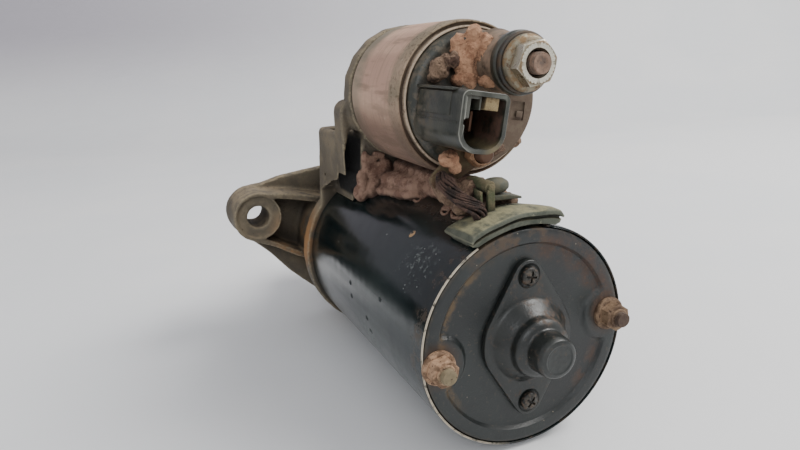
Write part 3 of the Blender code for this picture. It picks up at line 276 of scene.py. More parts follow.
def yoke_paint():
    """Glossy green-black paint: scuffs, a few scratches, brown dust under the clay, chips."""
    look = Look("yoke_paint", (15, 24, 25), 0.16)
    look.layer(look.patches(0.4, 0.65, 30, seed=3), (22, 32, 33), 0.22)
    look.layer(look.patches(0.3, 0.7, 0.6, 2), height=0.003)
    look.layer(look.patches(0.3, 0.7, 16, 2, seed=8), height=0.08)
    dusty = look.times(look.step(look.wobbly(look.z, 7, 8), 34, 38), look.step(look.x, 12, -2))
    look.layer((dusty, 0.4), (80, 66, 54), 0.65)
    rear = look.step(look.wobbly(look.y, 5, 8, 2), 12, 5)
    stain = look.patches(0.47, 0.64, 6, 5, 0.7, seed=4)
    look.layer((rear, stain, 0.45), (80, 62, 44), 0.6)
    # A grey-green painted sheen on the lower left, where the glossy yoke reflects the floor: a painted
    # reflection.
    painted_sheen = look.times(look.spot((-33, 40, -18), 46, 0.8), look.patches(0.35, 0.65, 11, 5, 0.7, seed=14))
    look.layer((painted_sheen, 0.35), (84, 96, 90), 0.5)
    for length, width, turn, seed in ((9, 0.05, (0, 0, 24), 3), (5, 0.045, (35, 0, -30), 9)):
        look.layer((look.scratches(length, width, turn, seed), 0.55), (120, 128, 124), 0.45)
    scuffed = look.spot((-29, 20, 24.5), 15, 0.9)
    white = look.times(scuffed, look.specks(1.9, 0.3, 2), look.patches(0.42, 0.6, 4))
    look.layer(white, (205, 208, 204), 0.6)
    look.layer((scuffed, look.patches(0.54, 0.66, 2.2, 5, 0.75, seed=21), 0.5), (120, 128, 124), 0.5)
    look.layer((look.specks(8, 0.26, 6), 0.8), (170, 170, 160), 0.6)
    chip = look.times(
        look.spot((-23.2, 36.5, 30.1), 1.7, 0.25), look.patches(0.38, 0.5, 1.1, 3, seed=2)
    )
    look.layer(chip, (170, 138, 104), 0.8, height=-0.1)
    rim = look.times(look.step(look.y, 0.5, 0.35), look.sector(182, -76, 70, 12))
    look.layer((rim, look.patches(0.3, 0.5, 2, 4, seed=6)), (196, 186, 168), 0.4, 0.5)
    return look.done()


def cover_paint():
    """Semi-gloss black paint on the rear cover, rusting along its upper right and in its recess."""
    look = Look("cover_paint", (18, 22, 22), 0.3)
    radius = look.radius()
    patchy = look.noise(5, 6, 0.7, seed=2)
    fine = look.noise(1.2, 4, 0.7, seed=5)
    look.layer(look.patches(0.4, 0.6, 24, seed=1), (28, 33, 32), 0.38)
    look.layer(look.step(fine, 0.3, 0.7), height=0.035)
    look.layer(look.patches(0.3, 0.7, 0.35, 2), height=0.02)
    top_right = look.sector(50, -48, 34, 14)
    ring = look.band(look.wobbly(radius, 4, 7), 27, 35, 2.2)
    rust = look.times(top_right, ring, look.step(patchy, 0.36, 0.58))
    look.layer((rust, 0.7), (66, 48, 38), 0.75, height=0.04)
    look.layer((rust, look.step(fine, 0.5, 0.62), 0.7), (82, 60, 46), 0.8)
    low_right = look.sector(-32, -16, 16, 8)
    streak = look.times(low_right, look.band(look.wobbly(radius, 3, 3, 3), 27.5, 31, 1))
    look.layer((streak, look.step(patchy, 0.4, 0.6), 0.55), (82, 58, 44), 0.75)
    left = look.sector(165, -42, 50, 10)
    groove = look.times(left, look.band(look.wobbly(radius, 2, 2, 4), 29.6, 32.2, 0.8))
    gaps = look.patches(0.4, 0.55, 9, 4, 0.6, seed=13)
    look.layer((groove, look.step(patchy, 0.38, 0.54), gaps, 0.7), (98, 80, 56), 0.85)
    under = look.sector(104, -26, 20, 6)
    halo = look.times(under, look.step(look.wobbly(radius, 3, 6, 6), 29, 33))
    look.layer((halo, look.step(patchy, 0.42, 0.6), 0.6), (84, 66, 48), 0.8)
    for (x, z), reach in zip(BOLTS, (9.5, 9)):
        away = look.wobbly(look.radius(x, z), 3, 5, 7)
        look.layer((look.step(away, reach, 4), 0.6), (76, 56, 42), 0.8)
    rim = look.times(look.step(radius, 35.6, 37.2), look.step(patchy, 0.45, 0.6))
    look.layer((rim, 0.4), (84, 72, 56), 0.7)
    look.layer((look.step(fine, 0.6, 0.7), 0.5), (84, 74, 62), 0.7)
    look.layer(look.specks(4, 0.22, 3), (150, 140, 124), 0.8)
    return look.done()


def cap_paint():
    """Black paint on the bearing cap, rubbed on its knob, with rust on the step's upper right."""
    look = Look("cap_paint", (19, 23, 22), 0.3)
    look.layer(look.patches(0.4, 0.62, 12, seed=2), (31, 34, 32), 0.4)
    look.layer(look.patches(0.3, 0.7, 0.8, 3), height=0.03)
    patchy = look.noise(2.6, 5, 0.7, seed=4)
    step_band = look.band(look.radius(), 8.4, 15.5, 1.2)
    upper = look.sector(40, -40, 60, 14)
    look.layer((step_band, upper, look.step(patchy, 0.46, 0.64), 0.7), (80, 60, 44), 0.75)
    look.layer((look.step(patchy, 0.56, 0.68), 0.7), (70, 58, 48), 0.75)
    knob = look.times(look.step(look.y, -15, -16.6), look.patches(0.35, 0.6, 1.5, seed=9))
    look.layer((knob, 0.25), (56, 60, 58), 0.45)
    edge = look.times(look.band(look.radius(), 6.3, 6.8, 0.15), look.sector(-50, -75, 50, 20))
    look.layer((edge, look.step(look.y, -16, -16.5), 0.7), (124, 124, 118), 0.45)
    look.layer(look.specks(3.2, 0.2, 1), (120, 112, 100), 0.8)
    return look.done()


def screw_black():
    look = Look("screw_black", (26, 26, 25), 0.45, 0.4)
    look.layer(look.patches(0.45, 0.62, 1.5, 4), (72, 58, 46), 0.75, 0, 0.03)
    look.layer(
        (look.step(look.y, -1.9, -2.8), look.patches(0.4, 0.6, 0.6, seed=3), 0.6), (92, 90, 84), 0.4,
        0.8
    )
    return look.done()


def rusty(name, base, dust, tip, seed):
    """Rusted steel hardware: a base colour, lighter dust in patches and a darker or greener tip."""
    look = Look(name, base, 0.72, 0.25)
    patchy = look.noise(2.4, 6, 0.7, seed=seed)
    look.layer(look.step(patchy, 0.42, 0.6), dust, 0.9, 0, 0.03)
    look.layer(look.patches(0.35, 0.65, 0.5, 3, seed=seed), height=0.02)
    look.layer((look.worn(0.52, 0.57), 0.5), linear(dust, 1.4), 0.6)
    look.layer((look.step(look.y, -5.9, -6.8), 0.8), tip, 0.7, 0.2)
    look.layer(look.patches(0.6, 0.7, 1.1, 3, seed=seed + 4), (60, 38, 28), 0.85)
    return look.done()


def cast_metal():
    """Die-cast aluminium under road dust: tan on edges and tops, near-black in its pockets from painted
    shade and dirt.
    """
    look = Look("cast_metal", (98, 90, 76), 0.62, 0.3)
    patchy = look.noise(9, 5, 0.65, seed=3)
    fine = look.noise(1.1, 4, 0.7, seed=6)
    look.layer(look.step(patchy, 0.42, 0.62), (118, 107, 88), 0.8, 0.15)
    look.layer((look.patches(0.45, 0.62, 22, seed=8), 0.6), (86, 80, 72), 0.7, 0.3)
    look.layer((look.facing_up(), look.patches(0.35, 0.6, 5, seed=5), 0.7), (150, 134, 108), 0.9, 0)
    orange = look.times(look.spot((-38, 130, 8), 20, 0.7), look.step(patchy, 0.36, 0.56))
    look.layer((orange, 0.75), (158, 112, 66), 0.9, 0)
    # Near-black in the pockets: painted shade, with dirt.
    look.layer((look.crease_dirt_and_shade(9), 0.8), (46, 38, 31), 0.9, 0)
    look.layer((look.worn(), look.step(fine, 0.35, 0.6), 0.6), (160, 148, 122), 0.6, 0.2)
    # The inside of the arm's slot painted near-black: painted shade.
    slot = look.times(look.band(look.x, -28.8, -20.6, 0.3), look.band(look.z, 33, 58, 1))
    look.layer((slot, look.band(look.y, 89.2, 113, 0.5)), (16, 14, 13), 0.95, 0)
    look.layer(look.step(fine, 0.3, 0.7), height=0.09)
    look.layer(look.patches(0.3, 0.7, 0.4, 2), height=0.04)
    look.layer(look.specks(3.5, 0.4, 2), (70, 60, 50), 0.9, 0, -0.1)
    return look.done()


def dusty_can():
    """Drawn steel can under pinkish dried dust, olive-grey at both ends and brown in the groove, with
    painted shade on its underside and in the groove and a painted highlight on the rim's inner edge.
    """
    look = Look("dusty_can", (176, 142, 124), 0.82)
    along = look.noise(14, 5, 0.6, (1, 0.35, 1), 3)
    fine = look.noise(1.4, 5, 0.7, seed=6)
    round_lines = look.noise(2, 3, 0.6, (0.12, 1.4, 0.12), 9)
    look.layer(look.step(along, 0.4, 0.6), (196, 162, 140), 0.86)
    look.layer((look.patches(0.5, 0.62, 8, 4, 0.6, (1.6, 0.2, 1.6), 12), 0.7), (132, 108, 90), 0.75)
    look.layer((look.step(round_lines, 0.5, 0.66), 0.45), (136, 116, 98), 0.85)
    front = look.step(look.wobbly(look.y, 6, 9, 1), 68, 77)
    look.layer((front, 0.85), (112, 108, 92), 0.8)
    rear = look.step(look.wobbly(look.y, 3, 4, 5), 46, 41.5)
    look.layer((rear, 0.85), (120, 110, 90), 0.8)
    look.layer((rear, look.step(fine, 0.5, 0.62), 0.8), (84, 72, 56), 0.9)
    side = look.sector(170, -26, 26, 14, SOLENOID_Z)
    look.layer((side, look.step(along, 0.38, 0.6), 0.4), (186, 156, 134), 0.7)
    # The underside, towards the yoke, painted darker: painted shade.
    under = look.sector(-110, -62, 46, 16, SOLENOID_Z)
    look.layer((under, 0.75), (96, 74, 60), 0.85)
    look.layer(look.step(fine, 0.35, 0.65), height=0.07)
    look.layer(look.step(along, 0.3, 0.7), height=0.15)
    look.layer((look.specks(5, 0.4, 4), look.either(rear, 0.3)), (206, 198, 178), 0.5)
    # A dark brown line in the rim's groove: painted shade.
    groove = look.band(look.radius(0, SOLENOID_Z), 24.55, 25.6, 0.2)
    look.layer((groove, look.step(look.y, 38.5, 37)), (52, 36, 26), 0.9)
    # The rim's inner edge painted lighter in patches: painted highlight.
    edge = look.step(look.radius(0, SOLENOID_Z), 24.75, 24.55)
    look.layer((edge, look.step(fine, 0.3, 0.5)), (176, 158, 136), 0.6)
    return look.done()


def cap_plastic():
    """Shiny dark grey-green moulded plastic, scratched, with brown mud in its corners."""
    look = Look("cap_plastic", (36, 39, 33), 0.32)
    patchy = look.noise(5, 5, 0.65, seed=3)
    look.layer(look.step(patchy, 0.42, 0.62), (56, 57, 49), 0.42)
    look.layer(look.patches(0.3, 0.7, 0.9, 3), height=0.02)
    for length, width, turn, seed in ((7, 0.07, (-55, 0, 0), 2), (5, 0.06, (20, 0, 0), 12)):
        look.layer((look.scratches(length, width, turn, seed), 0.6), (132, 138, 130), 0.5)
    away = look.radius(*PLUG)
    base = look.step(look.y, 24, 27.5)
    look.layer(
        (base, look.step(look.wobbly(look.x, 5, 10), -8, 2), 0.9), (92, 76, 62), 0.85, height=0.1
    )
    boss = look.times(look.step(look.radius(*STUD), 11.5, 9.8), look.band(look.y, 18.9, 29, 0.6))
    look.layer((boss, look.step(patchy, 0.3, 0.55), 0.95), (138, 116, 98), 0.85, height=0.1)
    muddy = look.times(look.step(look.wobbly(look.z, 3, 6, 5), 66.5, 62), look.step(away, 13, 11))
    look.layer((muddy, look.step(look.x, -16, -11), 0.8), (112, 100, 72), 0.85)
    inside = look.times(
        look.step(look.x, -11.4, -8.6), look.step(away, 11, 9), look.step(look.y, 1.2, 3)
    )
    look.layer((inside, look.step(patchy, 0.35, 0.6), 0.8), (96, 68, 56), 0.85)
    look.layer((look.crease_dirt_and_shade(3), 0.5), (58, 46, 38), 0.85)
    mouth = look.times(
        look.step(look.y, 1.6, 1.1), look.worn(0.52, 0.58), look.step(look.x, -14, -21), 0.8
    )
    look.layer(mouth, (170, 170, 160), 0.45)
    dusty = look.times(look.step(look.y, 12, 26), look.patches(0.46, 0.6, 3, 5, 0.7, seed=15), 0.5)
    look.layer(dusty, (104, 92, 76), 0.8)
    look.layer((look.worn(0.56, 0.64), 0.4), (110, 112, 104), 0.45)
    return look.done()


def clay(name, light, dark, seed):
    """Dried mud: crumbly, cracked, with painted shade in its hollows and a painted highlight where it
    stands proud.
    """
    look = Look(name, light, 0.95)
    patchy = look.noise(6, 6, 0.7, seed=seed)
    fine = look.noise(0.8, 5, 0.75, seed=seed + 3)
    look.layer(look.step(patchy, 0.44, 0.6), dark, 0.95)
    # Hollows in a darker copy of the dark colour: painted shade.
    look.layer((look.crease_dirt_and_shade(4), 0.8), linear(dark, 0.35), 0.95)
    look.layer(look.step(fine, 0.35, 0.7), height=0.25)
    look.layer(look.step(look.cells(2.2, seed, "DISTANCE_TO_EDGE"), 0.02, 0.08), height=0.12)
    # Raised grain in a lighter copy of the light colour: painted highlight.
    look.layer((look.step(fine, 0.6, 0.7), 0.5), linear(light, 1.35), 0.95)
    return look.done()


def zinc():
    """Yellowed zinc plating with bright rubbed edges and brown stains in the flats."""
    look = Look("zinc", (126, 120, 104), 0.38, 0.85)
    patchy = look.noise(3, 5, 0.7, seed=2)
    look.layer(look.step(patchy, 0.42, 0.6), (122, 98, 68), 0.6, 0.5)
    look.layer(look.patches(0.55, 0.68, 1.2, 4, seed=5), (88, 66, 46), 0.8, 0.2)
    # Dark brown in the creases: dirt, with painted shade.
    look.layer((look.crease_dirt_and_shade(2.5), 0.85), (52, 42, 32), 0.8, 0.1)
    look.layer(look.patches(0.3, 0.7, 0.4, 3), height=0.04)
    look.layer((look.worn(0.515, 0.56), 0.85), (220, 216, 200), 0.25, 1)
    return look.done()


def plain_metal(name, colour, tarnish, roughness, metallic=1, seed=1):
    """Bare metal with machining lines, smears of oil and tarnish, and painted shade in its creases."""
    look = Look(name, colour, roughness, metallic)
    look.layer(look.patches(0.42, 0.64, 7, 5, 0.65, seed=seed), tarnish, roughness + 0.2)
    look.layer(look.patches(0.4, 0.6, 0.6, 2, 0.5, (0.3, 2.5, 0.3), seed), height=0.02)
    # A darker copy of the tarnish in the creases: painted shade.
    look.layer((look.crease_dirt_and_shade(2), 0.6), linear(tarnish, 0.25), 0.7)
    look.layer((look.worn(0.53, 0.6), 0.5), linear(colour, 1.5), roughness)
    return look.done()


def plain_matter(name, colour, other, roughness, size=3, grain=0.4, seed=1):
    """Plastic, rubber, carbon or board, with blotches, grain and painted shade in its creases."""
    look = Look(name, colour, roughness)
    look.layer(look.patches(0.42, 0.62, size, 5, 0.65, seed=seed), other, min(1, roughness + 0.12))
    look.layer(look.patches(0.3, 0.7, grain, 3, seed=seed + 2), height=0.05)
    # A darker copy of the colour in the creases: painted shade.
    look.layer((look.crease_dirt_and_shade(2), 0.6), linear(colour, 0.3), roughness)
    return look.done()


def wound_copper():
    """Enamelled copper turns, packed side by side."""
    look = Look("wound_copper", (150, 84, 48), 0.3, 0.9)
    turns = look.math("SINE", look.times(look.y, 2 * pi / 0.9))
    strands = look.math("SINE", look.times(look.angle(), 0.9))
    look.layer(look.step(look.math("ADD", turns, strands), -0.6, 0.8), (176, 104, 62), 0.35, height=0.2)
    look.layer(look.patches(0.5, 0.65, 5, seed=2), (112, 62, 38), 0.5)
    return look.done()


def laminations():
    look = Look("laminations", (104, 104, 106), 0.42, 0.9)
    sheets = look.math("SINE", look.times(look.y, 2 * pi / 0.5))
    look.layer(look.step(sheets, -0.4, 0.4), (132, 132, 134), 0.36, height=0.06)
    look.layer(look.patches(0.5, 0.65, 6, seed=2), (88, 72, 58), 0.6)
    return look.done()


def backdrop_paper():
    """Pale paper, with painted shade high up on the left, and faint creases."""
    look = Look("backdrop_paper", (226, 228, 230), 0.85)
    look.layer(look.patches(0.4, 0.6, 260, 3, seed=4), (230, 231, 232), 0.85, height=0.5)
    # Darker high up on the left: painted shade.
    dull = look.times(look.step(look.z, -45, 170), look.step(look.x, 1100, -300))
    look.layer(dull, (176, 173, 181), 0.85)
    look.layer(look.patches(0.4, 0.6, 90, 4, 0.6, (0.3, 0.3, 1.6), 7), height=0.8)
    return look.done()


# ---------------------------------------------------------------- mesh tools


def mesh_object(name, points, faces):
    mesh = bpy.data.meshes.new(name)
    mesh.from_pydata([tuple(point) for point in points], [], faces)
    mesh.update()
    return linked(name, mesh)


def linked(name, mesh):
    made = bpy.data.objects.new(name, mesh)
    bpy.context.scene.collection.objects.link(made)
    return made


@contextmanager
def edited(made):
    """The object's mesh opened for editing, and written back at the end."""
    bm = bmesh.new()
    bm.from_mesh(made.data)
    yield bm
    bm.to_mesh(made.data)
    bm.free()


def empty(name):
    return linked(name, bpy.data.meshes.new(name))


def evaluated(made):
    """Replaces the object's mesh with the one its modifiers give."""
    bpy.context.view_layer.update()
    seen = made.evaluated_get(bpy.context.evaluated_depsgraph_get())
    mesh = bpy.data.meshes.new_from_object(seen)
    made.modifiers.clear()
    made.data = mesh
    return made


def boolean(made, cutter, operation="DIFFERENCE"):
    modifier = made.modifiers.new("boolean", "BOOLEAN")
    modifier.object = cutter
    modifier.operation = operation
    evaluated(made)
    bpy.data.objects.remove(cutter)
    return made


def joined(name, *parts):
    """One object that holds the meshes of all the parts, each still its own body."""
    made = empty(name)
    with edited(made) as bm:
        for part in parts:
            bm.from_mesh(part.data)
            bpy.data.objects.remove(part)
    return made


def rounded(corners, fillet, closed, steps=4):
    """The corners with each one replaced by a small curve. A corner may carry its own fillet."""
    points = []
    count = len(corners)
    for i, corner in enumerate(corners):
        here = Vector(corner[:2])
        size = corner[2] if len(corner) > 2 else fillet
        at_end = not closed and i in (0, count - 1)
        before = Vector(corners[i - 1][:2]) - here
        after = Vector(corners[(i + 1) % count][:2]) - here
        reach = min(size, 0.45 * before.length, 0.45 * after.length)
        if at_end or reach < 1e-4:
            points.append(here)
            continue
        first = here + before.normalized() * reach
        last = here + after.normalized() * reach
        for k in range(steps + 1):
            t = k / steps
            points.append(first * (1 - t) ** 2 + here * 2 * t * (1 - t) + last * t * t)
    return points


def bands(rings, closed=False):
    """Faces between neighbouring rings of point numbers. A ring of one point is a pole."""
    faces = []
    for a, b in list(zip(rings, rings[1:])) + ([(rings[-1], rings[0])] if closed else []):
        count = max(len(a), len(b))
        for k in range(count):
            n = (k + 1) % count
            corners = [a[k % len(a)], a[n % len(a)], b[n % len(b)], b[k % len(b)]]
            faces.append(list(dict.fromkeys(corners)))
    return [face for face in faces if len(face) > 2]


def circle(far, y, at, segments):
    """Points on a circle round the axis along Y through at; far is a radius or a list of them."""
    turns = [2 * pi * k / segments for k in range(segments)]
    reach = far if isinstance(far, list) else [far] * segments
    return [(at[0] + r * cos(turn), y, at[1] + r * sin(turn)) for r, turn in zip(reach, turns)]


def rings_of(count, size):
    """Numbers of count rings of size points each, one ring after the other."""
    return [range(k * size, (k + 1) * size) for k in range(count)]


def lathe(name, profile, fillet=0.4, at=(0, 0), segments=128, closed=False, shape=None):
    """Turns (radius, y) corners round the axis along Y through at. shape(angle, r, y) may move them."""
    outline = rounded(profile, fillet, closed)
    points = []
    rings = []
    for r, y in outline:
        if r < 1e-6:
            rings.append([len(points)])
            points.append((at[0], y, at[1]))
            continue
        rings.append(list(range(len(points), len(points) + segments)))
        for k in range(segments):
            turn = 2 * pi * k / segments
            far, along = shape(turn, r, y) if shape else (r, y)
            points.append((at[0] + far * cos(turn), along, at[1] + far * sin(turn)))
    return facing_out(mesh_object(name, points, bands(rings, closed)))


def facing_out(made):
    with edited(made) as bm:
        bmesh.ops.recalc_face_normals(bm, faces=bm.faces)
    return made


def slab(name, outline, y0, y1, bevel=0.3):
    """An outline of (x, z) corners drawn out along Y, with its end edges rounded."""
    count = len(outline)
    points = [(x, y, z) for y in (y0, y1) for x, z in outline]
    sides = [[k, (k + 1) % count, count + (k + 1) % count, count + k] for k in range(count)]
    made = mesh_object(name, points, [list(range(count)), list(range(count, 2 * count)), *sides])
    facing_out(made)
    if bevel:
        with edited(made) as bm:
            ends = [edge for edge in bm.edges if abs(edge.verts[0].co.y - edge.verts[1].co.y) < 1e-6]
            bmesh.ops.bevel(
                bm, geom=ends, offset=bevel, segments=3, profile=0.5, affect="EDGES", clamp_overlap=True
            )
    return made


def box(name, centre, size, bevel=0.3, turn=(0, 0, 0), steps=3):
    """A block with rounded edges, turned by angles in degrees."""
    made = empty(name)
    with edited(made) as bm:
        bmesh.ops.create_cube(bm, size=1)
        bmesh.ops.scale(bm, vec=size, verts=bm.verts)
        bmesh.ops.bevel(bm, geom=bm.edges[:], offset=bevel, segments=steps, profile=0.5, affect="EDGES")
        turned = Euler([radians(part) for part in turn]).to_matrix().to_4x4()
        bmesh.ops.transform(bm, matrix=Matrix.Translation(centre) @ turned, verts=bm.verts)
    return made


def arc(x, z, radius, start, end, steps):
    turns = [start + (end - start) * k / steps for k in range(steps + 1)]
    return [(x + radius * cos(turn), z + radius * sin(turn)) for turn in turns]


def hexagon(across, x, z, turn=0):
    far = 0.5 * across / cos(pi / 6)
    return [(x + far * cos(turn + k * pi / 3), z + far * sin(turn + k * pi / 3)) for k in range(6)]


def chamfered_hexagon(name, across, y0, y1, at, turn=0):
    """A hexagon whose corners are turned down at its y0 end."""
    corner = 0.5 * across / cos(pi / 6)
    blunt = 0.5 * across * 0.97
    drop = 0.75 * (corner - blunt)
    profile = [(0, y0), (blunt, y0), (corner + 0.1, y0 + drop), (corner + 0.1, y1 + 1), (0, y1 + 1)]
    made = slab(name, hexagon(across, *at, turn), y0 - 1, y1, 0)
    return boolean(made, lathe("blank", profile, 0.15, at, 96), "INTERSECT")


def threaded(name, radius, depth, pitch, y0, y1, at, hollow=0):
    """A screw thread as one skin, tapering off at its y0 end, with a flat or hollow end."""
    segments = 48
    rows = ceil((y1 - y0) / (pitch / 6))
    points = []
    for row in range(rows + 1):
        y = y0 + (y1 - y0) * row / rows
        crest = radius * (0.9 + 0.1 * min(1, 0.55 + 0.45 * (y - y0) / 1.2))
        phases = [(y / pitch + k / segments) % 1 for k in range(segments)]
        far = [crest - depth * (1 - 2 * abs(phase - 0.5)) * 0.9 for phase in phases]
        points += circle(far, y, at, segments)
    for share, back in ((0.62, 0), (0.5, hollow), (0, hollow)):
        points += circle(radius * share, y0 + back, at, segments)
    rings = rings_of(rows + 4, segments)
    faces = bands(rings[: rows + 1]) + bands([rings[0], *rings[rows + 1 :]])
    return merged(mesh_object(name, points, faces))


def merged(made, within=1e-4):
    with edited(made) as bm:
        bmesh.ops.remove_doubles(bm, verts=bm.verts, dist=within)
        bmesh.ops.recalc_face_normals(bm, faces=bm.faces)
    return made


def capped(name, points, sides):
    """A skin over rings of that many points each, closed at both ends."""
    rings = rings_of(len(points) // sides, sides)
    return facing_out(mesh_object(name, points, [*bands(rings), list(rings[0]), list(rings[-1])]))


def tube(name, points, radius, sides=8):
    """A round tube along a smooth curve through the points."""
    path = smooth_path([Vector(point) for point in points])
    points = []
    side = Vector((0, 0, 1))
    for i, here in enumerate(path):
        ahead = path[min(i + 1, len(path) - 1)] - path[max(i - 1, 0)]
        ahead.normalize()
        side = (side - ahead * side.dot(ahead)).normalized()
        other = ahead.cross(side)
        for k in range(sides):
            turn = 2 * pi * k / sides
            points.append(here + (side * cos(turn) + other * sin(turn)) * radius)
    return capped(name, points, sides)


def smooth_path(points):
    """Catmull-Rom curve through the points."""
    steps = 6
    ends = [points[0] * 2 - points[1], *points, points[-1] * 2 - points[-2]]
    path = []
    for a, b, c, d in zip(ends, ends[1:], ends[2:], ends[3:]):
        for k in range(steps):
            t = k / steps
            bend = 2 * b + (c - a) * t + (2 * a - 5 * b + 4 * c - d) * t * t
            path.append(0.5 * (bend + (3 * b - a - 3 * c + d) * t**3))
    return [*path, points[-1]]


def ruffle(made, size, amount, seed=0):
    """Moves the points along their normals by fractal noise of the given size and amount, in mm."""
    offset = Vector((seed, -seed, 2 * seed))
    moves = []
    for vertex in made.data.vertices:
        wave = noise.fractal(vertex.co / size + offset, 0.8, 2.1, 4)
        moves.append(vertex.co + vertex.normal * wave * amount)
    for vertex, place in zip(made.data.vertices, moves):
        vertex.co = place
    made.data.update()
    return made


def remeshed(made, voxel, smoothing, limit=None):
    """The mesh rebuilt in even voxels, so that lumps melt together and edges soften."""
    modifier = made.modifiers.new("remesh", "REMESH")
    modifier.mode = "VOXEL"
    modifier.voxel_size = voxel
    soften = made.modifiers.new("smooth", "SMOOTH")
    soften.factor = 0.5
    soften.iterations = smoothing
    evaluated(made)
    if limit and len(made.data.polygons) * 2 > limit:
        fewer = made.modifiers.new("fewer", "DECIMATE")
        fewer.ratio = limit / (2 * len(made.data.polygons))
        evaluated(made)
    return made


def ellipsoids(name, blobs, subdivisions):
    """Ellipsoids (x, y, z, rx, ry, rz), each its own body."""
    made = empty(name)
    with edited(made) as bm:
        for blob in blobs:
            matrix = Matrix.Translation(blob[:3]) @ Matrix.Diagonal((*blob[3:], 1))
            bmesh.ops.create_icosphere(bm, subdivisions=subdivisions, radius=1, matrix=matrix)
    return made


def lump(name, blobs, voxel, size, amount, seed):
    """Ellipsoids melted together and crumbled by noise of the given size and amount."""
    made = remeshed(ellipsoids(name, blobs, 4), voxel, 2)
    return ruffle(ruffle(made, size, amount, seed), 0.3 * size, 0.35 * amount, seed + 4)


def placed(made, material, replaces=(), sharp=35):
    """Puts a finished piece in the world, with its material, riding on the motor's body."""
    made.data.transform(TO_WORLD)
    made.data.materials.clear()
    made.data.materials.append(material)
    made.data.shade_smooth()
    made.data.set_sharp_from_angle(angle=radians(sharp))
    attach(made, "body")
    if replaces:
        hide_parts(*replaces)
    return made


# ---------------------------------------------------------------- motor body


def on_shell(radius, angle, y):
    """The point at that angle in degrees and that y on a cylinder round the motor's axis."""
    return (radius * cos(radians(angle)), y, radius * sin(radians(angle)))


def grommet_cutter(y0, y1):
    first = radians(GROMMET_ANGLE - GROMMET_HALF - 0.5)
    last = radians(GROMMET_ANGLE + GROMMET_HALF + 0.5)
    outline = arc(0, 0, 33, first, last, 24) + arc(0, 0, 45, last, first, 24)
    return slab("grommet_cutter", outline, y0, y1, 0)


def make_yoke():
    """The yoke's tube, with a thin lip round the cover, the grommet's gap and five stake marks."""
    profile = [
        (35.5, 3.9), (37.2, 3.9, 0.1), (37.2, 0.5, 0.1), (37.35, 0.1, 0.05), (37.6, 0.45, 0.1),
        (37.85, 0.25, 0.05), (YOKE_RADIUS, 0.7, 0.2), (YOKE_RADIUS, 121, 0.6), (35.5, 121),
    ]
    shell = lathe("yoke_shell", profile, 0.2, segments=192, closed=True)
    boolean(shell, grommet_cutter(0, 15))
    for angle, y in ((172, 66), (179.5, 64.5), (184.4, 48.2), (191.6, 46.5), (166.6, 35.5)):
        stake = (*on_shell(YOKE_RADIUS + 0.4, angle, y), 1, 1.5, 1.1)
        boolean(shell, ellipsoids("stake", [stake], 3))
    placed(shell, yoke_paint(), replaces=["yoke"])


def cover_height(x, z):
    """How deep the pressed recess is at a point of the rear cover."""
    far = hypot(x, z)
    inside = smooth(32.6, 31.3, far)
    kept = max(smooth(10.4, 8.9, hypot(x - bx, z - bz)) for bx, bz in BOLTS)
    crown = 0.25 * (1 - smooth(0, 31, far))
    return 1.2 * inside * (1 - kept) - crown


def smooth(low, high, value):
    t = min(1, max(0, (value - low) / (high - low)))
    return t * t * (3 - 2 * t)


def make_rear_cover():
    """The pressed cover: a shallow recess that keeps a raised pad round each bolt."""
    segments = 240
    edge = [(36.4, 0.12), (36.8, 0.4), (36.9, 0.9), (36.9, 3.1), (36.7, 3.6), (30, 3.6)]
    points = []
    for k in range(1, 80):
        points += [(x, cover_height(x, z), z) for x, _, z in circle(0.45 * k, 0, (0, 0), segments)]
    for far, y in edge:
        points += circle(far, y, (0, 0), segments)
    count = len(points)
    points += [(0, cover_height(0, 0), 0), (0, edge[-1][1], 0)]
    rings = [[count], *rings_of(count // segments, segments), [count + 1]]
    cover = facing_out(mesh_object("rear_cover_skin", points, bands(rings)))
    boolean(cover, grommet_cutter(2.4, 9))
    placed(cover, cover_paint(), replaces=["rear_cover"])


def belt(circles, steps=20):
    """The outline of a belt drawn round the circles (x, z, radius)."""
    points = [point for x, z, r in circles for point in arc(x, z, r, 0, 2 * pi, 2 * steps)[:-1]]
    points.sort()
    hull = []
    for run in (points, points[::-1]):
        start = len(hull)
        for p in run:
            while len(hull) - start > 1 and turn_of(hull[-2], hull[-1], p) <= 0:
                hull.pop()
            hull.append(p)
        hull.pop()
    return hull


def turn_of(a, b, c):
    """Positive where the way from a over b to c turns left."""
    return (b[0] - a[0]) * (c[1] - a[1]) - (b[1] - a[1]) * (c[0] - a[0])


